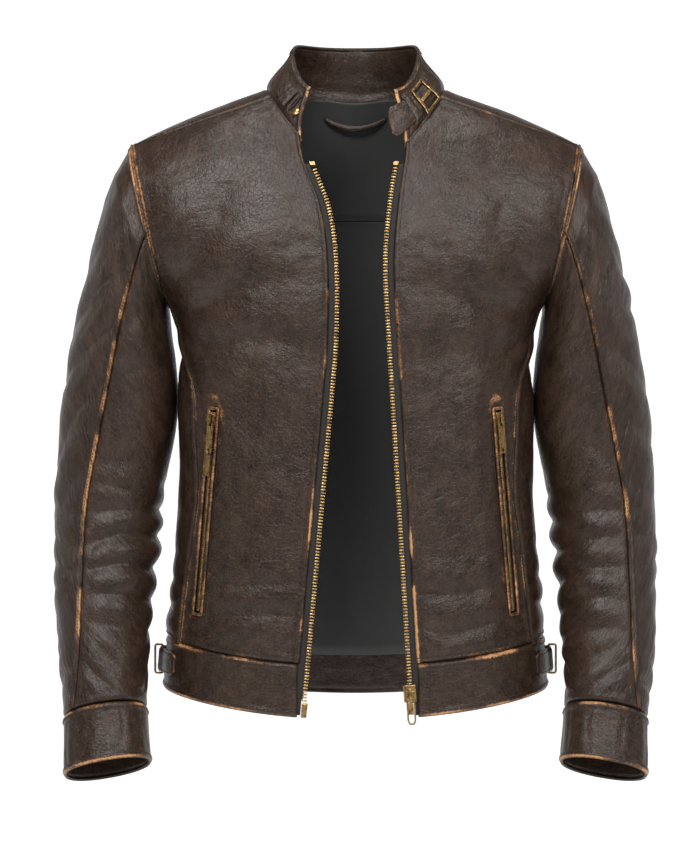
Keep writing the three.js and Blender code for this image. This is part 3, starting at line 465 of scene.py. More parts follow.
# ---------------------------------------------------------------- finishes
class Num:
    """A number in a material's node tree, with the signs of plain arithmetic."""

    def __init__(self, tree: "Tree", socket: bpy.types.NodeSocket) -> None:
        self.tree, self.socket = tree, socket

    def __add__(self, other: object) -> "Num":
        """Sum."""
        return self.tree.maths("ADD", self, other)

    def __radd__(self, other: object) -> "Num":
        """Sum, the other way round."""
        return self.tree.maths("ADD", other, self)

    def __sub__(self, other: object) -> "Num":
        """Difference."""
        return self.tree.maths("SUBTRACT", self, other)

    def __rsub__(self, other: object) -> "Num":
        """Difference, the other way round."""
        return self.tree.maths("SUBTRACT", other, self)

    def __mul__(self, other: object) -> "Num":
        """Product."""
        return self.tree.maths("MULTIPLY", self, other)

    def __rmul__(self, other: object) -> "Num":
        """Product, the other way round."""
        return self.tree.maths("MULTIPLY", other, self)

    def step(self, low: float, high: float) -> "Num":
        """0 below low, 1 above high, with a soft rise between."""
        out = self.tree.node(
            "ShaderNodeMapRange", {"interpolation_type": "SMOOTHSTEP"},
            {"Value": self, "From Min": low, "From Max": high},
        )
        return Num(self.tree, out.outputs["Result"])


class Tree:
    """A material's node tree, and the nodes that the finishes share."""

    def __init__(self, name: str) -> None:
        self.material = bpy.data.materials.new(name)
        self.material.use_nodes = True
        self.nodes = self.material.node_tree.nodes
        self.nodes.clear()

    def node(self, kind: str, settings: dict[str, object], values: dict[str, object]) -> bpy.types.Node:
        """Adds a node.

        Args:
            kind: its type.
            settings: its own properties, set first.
            values: what its inputs hold, as a Num, a socket or a constant.

        Returns:
            The node.
        """
        made = self.nodes.new(kind)
        for key, value in settings.items():
            setattr(made, key, value)
        for key, value in values.items():
            self.feed(made.inputs[key], value)
        return made

    def feed(self, target: bpy.types.NodeSocket, value: object) -> None:
        """Links or sets one input."""
        if isinstance(value, Num):
            value = value.socket
        if isinstance(value, bpy.types.NodeSocket):
            self.material.node_tree.links.new(value, target)
        elif isinstance(value, tuple) and len(value) == 3 and target.type == "RGBA":
            target.default_value = (*value, 1)
        else:
            target.default_value = value

    def maths(self, operation: str, a: object, b: object) -> Num:
        """A Math node."""
        return Num(self, self.node("ShaderNodeMath", {"operation": operation}, {0: a, 1: b}).outputs[0])

    def place(self) -> bpy.types.NodeSocket:
        """The piece's own flat coordinates, in metres."""
        return self.node("ShaderNodeUVMap", {"uv_map": "UVMap"}, {}).outputs["UV"]

    def spot(self) -> bpy.types.NodeSocket:
        """The point in space at rest, in metres."""
        return self.node("ShaderNodeTexCoord", {}, {}).outputs["Object"]

    def mask(self, name: str) -> Num:
        """A value that the piece's vertices carry."""
        return Num(self, self.node("ShaderNodeAttribute", {"attribute_name": name}, {}).outputs["Fac"])

    def stretched(self, at: bpy.types.NodeSocket, scale: tuple[float, float, float]) -> bpy.types.NodeSocket:
        """Coordinates scaled by a Mapping node."""
        return self.node("ShaderNodeMapping", {}, {"Vector": at, "Scale": scale}).outputs["Vector"]

    def noise(self, at: bpy.types.NodeSocket, scale: float, detail: float = 3.0, rough: float = 0.55) -> Num:
        """A Noise texture, from 0 to 1."""
        made = self.node(
            "ShaderNodeTexNoise", {"noise_dimensions": "3D"},
            {"Vector": at, "Scale": scale, "Detail": detail, "Roughness": rough},
        )
        return Num(self, made.outputs["Fac"])

    def cells(self, at: bpy.types.NodeSocket, scale: float, feature: str = "F1") -> Num:
        """A Voronoi texture's distance."""
        made = self.node(
            "ShaderNodeTexVoronoi", {"voronoi_dimensions": "3D", "feature": feature}, {"Vector": at, "Scale": scale}
        )
        return Num(self, made.outputs["Distance"])

    def wave(self, at: bpy.types.NodeSocket, scale: float, direction: str) -> Num:
        """A Wave texture of even bands along an axis."""
        made = self.node(
            "ShaderNodeTexWave", {"wave_type": "BANDS", "bands_direction": direction, "wave_profile": "SIN"},
            {"Vector": at, "Scale": scale},
        )
        return Num(self, made.outputs["Fac"])

    def mix(self, a: object, b: object, share: object) -> bpy.types.NodeSocket:
        """Two colours mixed."""
        made = self.node("ShaderNodeMix", {"data_type": "RGBA"}, {"Factor": share})
        self.feed(made.inputs[6], a)
        self.feed(made.inputs[7], b)
        return made.outputs[2]

    def bump(self, height: Num, distance: float, strength: float = 1.0, under: object = None) -> bpy.types.NodeSocket:
        """A Bump node's normal, over another one where given."""
        values = {"Height": height, "Distance": distance, "Strength": strength}
        if under is not None:
            values["Normal"] = under
        return self.node("ShaderNodeBump", {}, values).outputs["Normal"]

    def finish(self, values: dict[str, object]) -> bpy.types.Material:
        """The shader and the output."""
        shader = self.node("ShaderNodeBsdfPrincipled", {}, values)
        self.node("ShaderNodeOutputMaterial", {}, {"Surface": shader.outputs["BSDF"]})
        return self.material


class Slot(Enum):
    """The record's material slots."""

    LEATHER = "leather"
    WORN = "worn_leather"
    LINING = "lining"
    TAPE = "zip_tape"
    BRASS = "antique_brass"


@dataclass(frozen=True)
class Leather:
    """Waxed hide: dark satin grain, mottled, rubbed through to tan where the wear mask is high."""

    name: str = "dark_hide"
    dark: tuple[float, float, float] = (0.0085, 0.0043, 0.0027)
    light: tuple[float, float, float] = (0.05, 0.0285, 0.0185)
    rubbed: tuple[float, float, float] = (0.15, 0.066, 0.026)
    bare: tuple[float, float, float] = (0.42, 0.22, 0.095)
    wear: float = 0.0
    roughness: float = 0.43

    def build(self) -> bpy.types.Material:
        """The material."""
        t = Tree(self.name)
        at = t.place()
        mottle = t.noise(at, 22, 4, 0.6)
        cloud = t.noise(at, 85, 3, 0.6)
        flecks = t.noise(at, 420, 4, 0.7)
        streaks = t.noise(t.stretched(at, (1, 3.2, 1)), 60, 4, 0.65)
        worn = t.mask("wear") + self.wear
        scuffs = streaks.step(0.6, 0.75) * flecks.step(0.5, 0.62) * cloud.step(0.45, 0.7)
        chips = flecks * 1.3 + streaks * 0.7 + cloud * 0.8
        rub = (worn * 0.92 + (chips - 1.4) * 0.9).step(0.4, 0.82) + scuffs * 0.45
        core = (worn * 0.92 + (chips - 1.4) * 1.0).step(0.7, 1.05)
        base = t.mix(self.dark, self.light, (mottle * 0.25 + cloud * 0.25 + flecks * 0.5).step(0.34, 0.7))
        colour = t.mix(t.mix(base, self.rubbed, rub), self.bare, core)
        pebble = t.cells(at, 620)
        creases = t.cells(at, 210, "DISTANCE_TO_EDGE").step(0.0, 0.09)
        grain = t.bump(pebble * -0.7 + flecks * 0.5, 0.00028, 0.7)
        grain = t.bump(creases * 0.22 + t.noise(at, 140, 4, 0.6), 0.001, 0.5, grain)
        grain = t.bump(t.noise(t.stretched(at, (1, 1.6, 1)), 38, 3, 0.5), 0.004, 0.45, grain)
        rough = self.roughness - 0.05 + (flecks - 0.5) * 0.16 + (mottle - 0.5) * 0.2 + rub * 0.14
        return t.finish(
            {"Base Color": colour, "Roughness": rough, "Normal": grain, "Specular IOR Level": 0.28}
        )


@dataclass(frozen=True)
class Twill:
    """Lining cloth: fine diagonal ribs with a low sheen."""

    name: str = "twill_lining"
    dark: tuple[float, float, float] = (0.006, 0.0055, 0.0055)
    light: tuple[float, float, float] = (0.013, 0.0118, 0.011)
    ribs: float = 260.0

    def build(self) -> bpy.types.Material:
        """The material."""
        t = Tree(self.name)
        at = t.place()
        ribs = t.wave(at, self.ribs, "DIAGONAL")
        slubs = t.noise(t.stretched(at, (9, 1, 1)), 190, 3, 0.6)
        colour = t.mix(self.dark, self.light, (ribs * 0.5 + slubs * 0.5).step(0.2, 0.85))
        normal = t.bump(ribs, 0.0002, 0.6)
        return t.finish(
            {"Base Color": colour, "Roughness": 0.62 + slubs * 0.15, "Normal": normal, "Sheen Weight": 0.25}
        )


@dataclass(frozen=True)
class Woven:
    """Tape or thread: cross ribs in black cotton."""

    name: str = "woven_tape"
    dark: tuple[float, float, float] = (0.006, 0.0055, 0.005)
    light: tuple[float, float, float] = (0.021, 0.019, 0.017)
    ribs: float = 330.0

    def build(self) -> bpy.types.Material:
        """The material."""
        t = Tree(self.name)
        at = t.place()
        weft, warp = t.wave(at, self.ribs, "Y"), t.wave(at, self.ribs * 0.8, "X")
        fuzz = t.noise(at, 900, 2, 0.6)
        colour = t.mix(self.dark, self.light, weft * 0.5 + fuzz * 0.4)
        normal = t.bump(weft * 0.7 + warp * 0.4, 0.00025, 0.8)
        return t.finish({"Base Color": colour, "Roughness": 0.85 + fuzz * 0.1, "Normal": normal})


@dataclass(frozen=True)
class Brass:
    """Aged brass: darkened in patches, scuffed bright, with a fine tumbled grain."""

    name: str = "antique_brass"
    dark: tuple[float, float, float] = (0.115, 0.07, 0.032)
    bright: tuple[float, float, float] = (0.52, 0.335, 0.135)
    roughness: float = 0.33

    def build(self) -> bpy.types.Material:
        """The material."""
        t = Tree(self.name)
        at = t.spot()
        patches, fine = t.noise(at, 240, 4, 0.6), t.noise(at, 1500, 3, 0.6)
        colour = t.mix(self.dark, self.bright, (patches * 0.7 + fine * 0.3).step(0.34, 0.62))
        rough = self.roughness + (fine - 0.5) * 0.25 + (0.6 - patches) * 0.25
        return t.finish(
            {"Base Color": colour, "Roughness": rough, "Metallic": 1.0, "Normal": t.bump(fine, 0.00012, 0.5)}
        )


@dataclass(frozen=True)
class Plain:
    """A pale matt ground with a faint mottle."""

    name: str = "pale_ground"
    tone: float = 0.86

    def build(self) -> bpy.types.Material:
        """The material."""
        t = Tree(self.name)
        cloud = t.noise(t.spot(), 3, 2, 0.5)
        low = self.tone - 0.01
        colour = t.mix((low, low, low), (self.tone, self.tone, self.tone), cloud)
        return t.finish(
            {"Base Color": colour, "Roughness": 0.9, "Emission Color": (1.0, 1.0, 1.0), "Emission Strength": 0.75}
        )


@dataclass
class Finishes:
    """Every finish, made once."""

    hide: bpy.types.Material = field(default_factory=Leather().build)
    cuff_hide: bpy.types.Material = field(default_factory=Leather(name="rubbed_hide", wear=0.06).build)
    lining: bpy.types.Material = field(default_factory=Twill().build)
    tape: bpy.types.Material = field(default_factory=Woven().build)
    thread: bpy.types.Material = field(
        default_factory=Woven("waxed_thread", (0.014, 0.009, 0.006), (0.06, 0.04, 0.025), 900).build
    )
    brass: bpy.types.Material = field(default_factory=Brass().build)


# ---------------------------------------------------------------- meshes
@dataclass
class Mesh:
    """A mesh in the making: points, faces, the faces' flat coordinates and the wear that its points carry."""

    points: Array
    faces: Array
    place: Array
    wear: Array

    def build(self, name: str, material: bpy.types.Material) -> bpy.types.Object:
        """Makes the object, its faces wound as they are given.

        Args:
            name: the object's name.
            material: its finish.

        Returns:
            The object, linked to the scene at the origin.
        """
        data = bpy.data.meshes.new(name)
        corners = self.faces.reshape(-1)
        data.vertices.add(len(self.points))
        data.vertices.foreach_set("co", self.points.astype(np.float32).ravel())
        data.loops.add(len(corners))
        data.loops.foreach_set("vertex_index", corners.astype(np.int32))
        data.polygons.add(len(self.faces))
        width = self.faces.shape[1]
        data.polygons.foreach_set("loop_start", np.arange(len(self.faces), dtype=np.int32) * width)
        uv = data.uv_layers.new(name="UVMap")
        uv.data.foreach_set("uv", self.place[corners].astype(np.float32).ravel())
        worn = data.attributes.new("wear", "FLOAT", "POINT")
        worn.data.foreach_set("value", self.wear.astype(np.float32))
        data.update(calc_edges=True)
        data.validate()
        data.polygons.foreach_set("use_smooth", np.ones(len(data.polygons), bool))
        made = bpy.data.objects.new(name, data)
        bpy.context.scene.collection.objects.link(made)
        data.materials.append(material)
        return made


def stacked(meshes: Sequence[Mesh]) -> Mesh:
    """Several meshes with faces of the same kind, as one."""
    starts = np.cumsum([0] + [len(m.points) for m in meshes[:-1]])
    return Mesh(
        np.concatenate([m.points for m in meshes]),
        np.concatenate([m.faces + s for m, s in zip(meshes, starts)]),
        np.concatenate([m.place for m in meshes]),
        np.concatenate([m.wear for m in meshes]),
    )


def quads(rows: int, columns: int, ring: bool = False) -> Array:
    """The faces of a grid, each as four point numbers.

    Args:
        rows: points down the grid.
        columns: points across it.
        ring: whether the last column joins the first.

    Returns:
        The faces, turned to face along the grid's normals.
    """
    number = np.arange(rows * columns).reshape(rows, columns)
    if ring:
        number = np.concatenate([number, number[:, :1]], 1)
    a, b, c, d = number[:-1, :-1], number[:-1, 1:], number[1:, 1:], number[1:, :-1]
    return np.stack([a, b, c, d], -1).reshape(-1, 4)


def sheet_mesh(p: Array, normal: Array, thick: float, wear: Array, ring: bool = False) -> Mesh:
    """A closed piece with an outer face on the grid, an inner one at an even depth below it, and edges between.

    Args:
        p: the outer face's points as (rows, columns, 3).
        normal: their outward normals.
        thick: the depth.
        wear: the wear of each outer point.
        ring: whether the columns run round and join up.

    Returns:
        The mesh.
    """
    rows, columns = p.shape[:2]
    count = rows * columns
    outer = quads(rows, columns, ring)
    inner = outer[:, ::-1] + count
    number = np.arange(count).reshape(rows, columns)
    rims = [number[0][::-1], number[-1]]
    if ring:
        rims = [np.append(r, r[0]) for r in rims]
    else:
        rims += [number[:, 0], number[::-1, -1]]
    edges = np.concatenate([np.stack([r[1:], r[:-1], r[:-1] + count, r[1:] + count], -1) for r in rims])
    edges = edges[edges[:, 0] != edges[:, 1]]
    across = np.linalg.norm(np.diff(p, axis=1), axis=-1)
    along = np.linalg.norm(np.diff(p, axis=0), axis=-1)
    u = np.concatenate([np.zeros((rows, 1)), np.cumsum(across, 1)], 1)
    v = np.concatenate([np.zeros((1, columns)), np.cumsum(along, 0)], 0)
    u = u - u[:, columns // 2][:, None]
    place = np.stack([u, v], -1).reshape(-1, 2)
    return Mesh(
        np.concatenate([p.reshape(-1, 3), (p - normal * thick).reshape(-1, 3)]),
        np.concatenate([outer, inner, edges]),
        np.concatenate([place, place + 0.37]),
        np.concatenate([wear.ravel(), wear.ravel() * 0]),
    )


def edge_line(p: Array, edge: str, away: float) -> Array:
    """A line over a grid, at a set distance from one of its edges.

    Args:
        p: points as (rows, columns, 3), with their normals after them if wanted.
        edge: low, high, first or last.
        away: how far the line lies from that edge, in metres.

    Returns:
        Points, one a row.
    """
    grid = {"low": p.swapaxes(0, 1), "high": p[::-1].swapaxes(0, 1), "first": p, "last": p[:, ::-1]}[edge]
    run = np.cumsum(np.linalg.norm(np.diff(grid[..., :3], axis=1), axis=-1), axis=1)
    run = np.concatenate([np.zeros((len(grid), 1)), run], 1)
    i = np.clip((run < away).sum(1) - 1, 0, grid.shape[1] - 2)
    rows = np.arange(len(grid))
    t = (away - run[rows, i]) / np.maximum(run[rows, i + 1] - run[rows, i], 1e-9)
    return grid[rows, i] * (1 - t[:, None]) + grid[rows, i + 1] * t[:, None]


@dataclass(frozen=True)
class Thread:
    """Machine stitches: short fat capsules end to end along a line, each dipping into the leather at its ends."""

    pitch: float = 3.5 * MM
    length: float = 2.7 * MM
    radius: float = 0.34 * MM
    lift: float = 0.16 * MM

    def along(self, line: Array, normal: Array) -> Mesh:
        """Stitches along a line.

        Args:
            line: points, one a row.
            normal: the direction in which the stitches stand up, for each point or for all.

        Returns:
            The mesh: one capsule a stitch, of 6 sides and 4 rings, with its ends drawn almost to a point.
        """
        length = np.linalg.norm(np.diff(line, axis=0), axis=1).sum()
        count = max(2, int(length / self.pitch))
        fine = resample(np.concatenate([line, np.broadcast_to(normal, line.shape)], 1), count * 2 + 1)
        centre, along = fine[1::2, :3], unit(fine[2::2, :3] - fine[:-2:2, :3])
        out = fine[1::2, 3:]
        out = unit(out - along * (out * along).sum(-1, keepdims=True))
        across = np.cross(along, out)
        rings, sides = 4, 6
        at = np.array([-0.5, -0.24, 0.24, 0.5]) * self.length
        fat = np.array([0.25, 1, 1, 0.25]) * self.radius
        rise = np.array([-0.4, 1, 1, -0.4]) * self.lift
        turn = np.arange(sides) * 2 * math.pi / sides
        p = (
            centre[:, None, None]
            + along[:, None, None] * at[None, :, None, None]
            + across[:, None, None] * (fat[:, None] * np.cos(turn))[None, ..., None] * 1.1
            + out[:, None, None] * (rise[:, None] + fat[:, None] * np.sin(turn))[None, ..., None]
        )
        base = quads(rings, sides, True)
        ends = np.array([[0, 3, 2, 1], [0, 5, 4, 3], [18, 19, 20, 21], [18, 21, 22, 23]])
        faces = np.concatenate([base, ends])[None] + (np.arange(count) * rings * sides)[:, None, None]
        place = np.broadcast_to(np.stack([np.tile(turn, rings), np.repeat(at, sides)], -1) * 0.01, (count, 24, 2))
        return Mesh(p.reshape(-1, 3), faces.reshape(-1, 4), place.reshape(-1, 2), np.zeros(count * 24))


def tube(line: Array, radius: float, sides: int = 10, wear: float = 0.0) -> Mesh:
    """A round cord along a line, with its ends drawn in to a point.

    Args:
        line: points, one a row.
        radius: half its thickness.
        sides: points round it.
        wear: how rubbed it is, from 0 to 1.

    Returns:
        The mesh.
    """
    along = unit(np.gradient(line, axis=0))
    helper = np.where(np.abs(along[:, 2:3]) > 0.9, [[1.0, 0, 0]], [[0, 0, 1.0]])
    a = unit(np.cross(along, helper))
    b = np.cross(along, a)
    turn = np.arange(sides) * 2 * math.pi / sides
    size = np.full(len(line), radius)
    size[[0, -1]] = radius * 0.05
    spokes = a[:, None] * np.cos(turn)[:, None] + b[:, None] * np.sin(turn)[:, None]
    p = line[:, None] + size[:, None, None] * spokes
    run = np.concatenate([[0], np.cumsum(np.linalg.norm(np.diff(line, axis=0), axis=1))])
    place = np.stack(np.broadcast_arrays(turn[None] * radius, run[:, None]), -1).reshape(-1, 2)
    faces = quads(len(line), sides, True)[:, ::-1]
    number = np.arange(len(line) * sides).reshape(-1, sides)
    half = sides // 2 - 1
    ends = np.concatenate(
        [np.stack([np.full(half, n[0]), n[1:-2:2], n[2:-1:2], n[3::2]], -1) for n in (number[0], number[-1][::-1])]
    )
    return Mesh(p.reshape(-1, 3), np.concatenate([faces, ends]), place, np.full(len(p) * sides, wear))


@dataclass(frozen=True)
class Sweep:
    """A bar that closes on itself: a flat section carried round a loop."""

    section: tuple[tuple[float, float], ...]

    def round(self, path: Array, out: Array, inwards: Array, wear: float = 0.0) -> Mesh:
        """The bar.

        Args:
            path: the loop's points, the first not repeated.
            out: the direction of the section's second number, at each point or for all.
            inwards: the direction of its first number, at each point.
            wear: how rubbed it is, from 0 to 1.

        Returns:
            The mesh: the section's corners at each point of the loop, joined up both ways.
        """
        s = np.array(self.section)
        inwards, out = np.broadcast_to(inwards, path.shape), np.broadcast_to(out, path.shape)
        p = path[:, None] + inwards[:, None] * s[None, :, :1] + out[:, None] * s[None, :, 1:]
        rows, columns = p.shape[:2]
        number = np.arange(rows * columns).reshape(rows, columns)
        number = np.concatenate([number, number[:1]], 0)
        number = np.concatenate([number, number[:, :1]], 1)
        faces = np.stack([number[:-1, :-1], number[:-1, 1:], number[1:, 1:], number[1:, :-1]], -1).reshape(-1, 4)
        run = np.concatenate([[0], np.cumsum(np.linalg.norm(np.diff(path, axis=0), axis=1))])
        girth = np.concatenate([[0], np.cumsum(np.linalg.norm(np.diff(s, axis=0), axis=1))])
        place = np.stack(np.broadcast_arrays(girth[None], run[:, None]), -1).reshape(-1, 2)
        return Mesh(p.reshape(-1, 3), faces, place, np.full(rows * columns, wear))


@dataclass(frozen=True)
class Tooth:
    """One zip tooth: a block of eight sides with its top and bottom edges eased."""

    wide: float
    tall: float
    thick: float

    def rows(self, middle: Array, across: Array, up: Array, out: Array) -> Mesh:
        """A tooth at each middle, turned by the three directions given there.

        Args:
            middle: points, one a row.
            across: the direction of each tooth's width.
            up: of its height along the tape.
            out: of its thickness.

        Returns:
            The mesh.
        """
        a, b, cut = self.wide / 2, self.tall / 2, 0.32 * self.tall
        ring = np.array(
            [[a, -b + cut], [a, b - cut], [a - cut, b], [-a + cut, b], [-a, b - cut], [-a, -b + cut],
             [-a + cut, -b], [a - cut, -b]]
        )
        level = np.array([-0.5, -0.3, 0.3, 0.5]) * self.thick
        size = np.array([0.78, 1, 1, 0.78])
        count = len(middle)
        across, up, out = (np.broadcast_to(v, middle.shape)[:, None, None] for v in (across, up, out))
        flat = ring[None] * size[:, None, None]
        p = middle[:, None, None] + across * flat[None, ..., :1] + up * flat[None, ..., 1:]
        p = p + out * level[None, :, None, None]
        caps = np.array(
            [[0, 7, 2, 1], [2, 7, 6, 3], [3, 6, 5, 4], [24, 25, 26, 31], [26, 27, 30, 31], [27, 28, 29, 30]]
        )
        faces = np.concatenate([quads(4, 8, True), caps])[None] + (np.arange(count) * 32)[:, None, None]
        return Mesh(p.reshape(-1, 3), faces.reshape(-1, 4), np.zeros((count * 32, 2)), np.zeros(count * 32))


# ---------------------------------------------------------------- folds and wear
def crease(phase: Array) -> Array:
    """Waves with broad round crests and narrow valleys, about their own middle."""
    return np.sqrt(np.sin(phase / 2) ** 2 + 0.02) - 0.65


def edge_distances(p: Array) -> dict[str, Array]:
    """How far each point of a grid lies from its four edges, along the grid."""
    across = np.concatenate([np.zeros((len(p), 1)), np.cumsum(np.linalg.norm(np.diff(p, axis=1), axis=-1), 1)], 1)
    along = np.concatenate([np.zeros((1, p.shape[1])), np.cumsum(np.linalg.norm(np.diff(p, axis=0), axis=-1), 0)], 0)
    return {"first": across, "last": across[:, -1:] - across, "low": along, "high": along[-1:] - along}


@dataclass(frozen=True)
class TorsoFolds:
    """How the body hangs: drag lines below the underarms, ripples over the hem band, long soft folds down the
    fronts and tight puckers on the side seams."""

    waist: float = 4.2 * MM
    drag: float = 4.4 * MM
    hang: float = 3.4 * MM
    pucker: float = 2.6 * MM

    def __call__(self, p: Array) -> Array:
        """The rise of the surface at each point, in metres."""
        warp = Noise(5).at(p, 0.09)
        loose = Noise(8).at(p, 0.07)
        x, y, z = np.abs(p[..., 0]), p[..., 1], p[..., 2]
        ripple = crease(2 * math.pi * z / 0.036 + 6.5 * warp + 9 * x) * smooth(z, -0.60, -0.545)
        rise = self.waist * ripple * (1 - smooth(z, -0.52, -0.43)) * (0.3 + loose)
        ray = np.arctan2(0.20 + z + 0.03, 0.215 - x)
        reach = np.hypot(0.20 + z + 0.02, 0.205 - x)
        drag = crease(ray * 9.5 + 5 * warp) * smooth(reach, 0.015, 0.05) * (1 - smooth(reach, 0.10, 0.24))
        rise = rise + self.drag * drag * (0.4 + loose) * np.where(z < -0.09, 1, 0.35)
        slant = x + 0.18 * z
        hang = crease(2 * math.pi * slant / 0.075 + 5.5 * warp) * smooth(-z, 0.16, 0.3)
        rise = rise + self.hang * hang * (0.25 + 0.75 * Noise(21).at(p, 0.12))
        near = np.exp(-(((x - FORM.side_seam(z)) / 0.014) ** 2)) * (y < 0)
        knots = hump(z, -0.315, 0.028) + hump(z, -0.52, 0.02) * 0.6 + hump(z, -0.42, 0.03) * 0.5
        rise = rise + self.pucker * near * knots * crease(2 * math.pi * z / 0.011 + 3 * warp)
        rise = rise + 2.4 * MM * (Noise(33).rough(p, 0.05) - 0.5) * 2
        return np.clip(rise, -2.8 * MM, 6 * MM)


@dataclass(frozen=True)
class SleeveFolds:
    """How a sleeve hangs: stacked creases at the bend of the elbow, slanting ones on the upper arm, and short
    ones above the cuff."""

    seed: int
    elbow: float = 8.5 * MM
    upper: float = 5.0 * MM
    wrist: float = 5.5 * MM

    def __call__(self, p: Array, angle: Array, s: Array) -> Array:
        """The rise of the surface at each point, in metres."""
        warp = Noise(self.seed).at(p, 0.075)
        loose = Noise(self.seed + 1).at(p, 0.06)
        z = p[..., 2]
        inner = 0.5 - 0.5 * np.cos(angle + 0.5)
        bend = crease(2 * math.pi * (z - 0.012 * np.cos(angle)) / 0.031 + 7 * warp)
        rise = self.elbow * bend * hump(z, -0.475, 0.075) * (0.25 + 0.75 * inner) * (0.35 + loose)
        slant = crease(2 * math.pi * (z + 0.05 * np.sin(angle + 0.6)) / 0.062 + 6 * warp)
        rise = rise + self.upper * slant * hump(z, -0.26, 0.12) * (0.3 + loose)
        short = crease(2 * math.pi * (z + 0.02 * np.sin(2 * angle)) / 0.026 + 6.5 * warp)
        rise = rise + self.wrist * short * hump(z, -0.597, 0.042) * (0.2 + loose)
        rise = rise + 3.0 * MM * (Noise(self.seed + 2).rough(p, 0.05) - 0.5) * 2
        rise = np.clip(rise, -5 * MM, 7 * MM)
        beside = 1 - smooth(np.abs(np.abs(angle) - math.pi), 0.5, 1.1)  # where the sleeve lies against the body
        against = beside * smooth(-z, 0.19, 0.24) * smooth(z, -0.42, -0.36)
        rise = rise * (1 - against) + 1.6 * MM * against
        return rise * smooth(s, 0.0, 0.7) * (1 - smooth(s, 10.55, 10.95))


@dataclass(frozen=True)
class SeamStyle:
    """How one edge of a panel is sewn."""

    stitch: float = 5.5 * MM  # distance of the topstitching from the edge
    rows: int = 1
    wear: float = 0.55  # how rubbed the edge is
    reach: float = 3.2 * MM  # how far in the wear goes
    roll: float = 1.0  # how raised the edge is


PLAIN = SeamStyle(rows=0, wear=0.25, roll=0.6)
TOP = SeamStyle()
FOLDED = SeamStyle(stitch=9 * MM, wear=1.3, reach=3.0 * MM, roll=1.5)
RUBBED = SeamStyle(wear=0.9, reach=5 * MM, roll=1.5)
DOUBLE = SeamStyle(stitch=3.2 * MM, rows=2, wear=1.15, reach=5 * MM, roll=1.9)
THREAD = Thread()
ROW_GAP = 4 * MM  # between the two rows of a double seam


@dataclass
class Panel:
    """A piece of leather cut between its seams."""

    name: str
    grid: Array
    rise: Array
    styles: dict[str, SeamStyle]
    nodes: tuple[str, ...]
    thick: float = 2 * MM
    extra_wear: Array | float = 0.0
    slot: Slot = Slot.LEATHER
    ring: bool = False
    seed: int = 3
    core: Array | None = None  # the inner point that each point faces away from

    def outward(self, grid: Array) -> Array:
        """Normals that face away from the inside."""
        core = grid * [0.35, 0, 1] if self.core is None else self.core
        normal = grid_normals(grid, self.ring)
        return normal * np.sign((normal * (grid - core)).sum())

    def __post_init__(self) -> None:
        """Raises the surface by its folds and its sewn edges, and finds its wear."""
        normal = self.outward(self.grid)
        away = edge_distances(self.grid)
        relief = np.zeros(self.grid.shape[:2])
        wear = np.zeros(self.grid.shape[:2])
        calm = np.ones(self.grid.shape[:2])
        patches = Noise(self.seed).rough(self.grid, 0.03)
        for edge, style in self.styles.items():
            d = away[edge]
            relief += -1.3 * MM * hump(d, 0, 1.9 * MM) + 0.75 * MM * style.roll * hump(d, 3.8 * MM, 2.6 * MM)
            if style.rows:
                relief += -0.55 * MM * hump(d, style.stitch, 1.3 * MM)
            rub = hump(d, 1.6 * MM, style.reach * 0.62) * (0.3 + 0.95 * smooth(patches, 0.3, 0.66)) * style.wear
            wear = np.maximum(wear, rub)
            calm *= smooth(d, -2 * MM, 16 * MM)
        ridge = np.maximum(self.rise, 0) / (3 * MM)
        wear = wear + 0.26 * ridge**2 * patches + self.extra_wear
        self.surface = self.grid + normal * (relief + self.rise * calm)[..., None]
        self.normal = self.outward(self.surface)
        self.wear = np.clip(wear, 0, 1.4)

    def mesh(self) -> Mesh:
        """The closed piece."""
        return sheet_mesh(self.surface, self.normal, self.thick, self.wear, self.ring)

    def stitches(self) -> list[Mesh]:
        """The topstitching along its edges."""
        both = np.concatenate([self.surface, self.normal], -1)
        if self.ring:
            both = np.concatenate([both, both[:, :1]], 1)
        found = []
        for edge, style in self.styles.items():
            for row in range(style.rows):
                line = edge_line(both, edge, style.stitch + row * ROW_GAP)
                found.append(THREAD.along(line[:, :3], line[:, 3:]))
        return found


@dataclass(frozen=True)
class Cut:
    """The flat size that a sheet is cut to, in metres and square metres."""

    width: float
    length: float
    area: float

    @classmethod
    def of(cls, *grids: Array, ring: bool = False) -> "Cut":
        """The cut of a sheet, measured over its smooth form, before it is creased.

        Args:
            grids: the form of each part of it, as (rows, columns, 3); the parts are laid side by side.
            ring: whether the columns run round and join up.

        Returns:
            The width and length of the cloth that holds it, and its own area.
        """
        width = length = area = 0.0
        for p in grids:
            p = np.concatenate([p, p[:, :1]], 1) if ring else p
            across, along = np.diff(p, axis=1), np.diff(p, axis=0)
            width += float(np.linalg.norm(across, axis=-1).sum(1).max())
            length = max(length, float(np.linalg.norm(along, axis=-1).sum(0).max()))
            area += float(np.linalg.norm(np.cross(across[:-1], along[:, :-1]), axis=-1).sum())
        return cls(width, length, min(area, width * length))


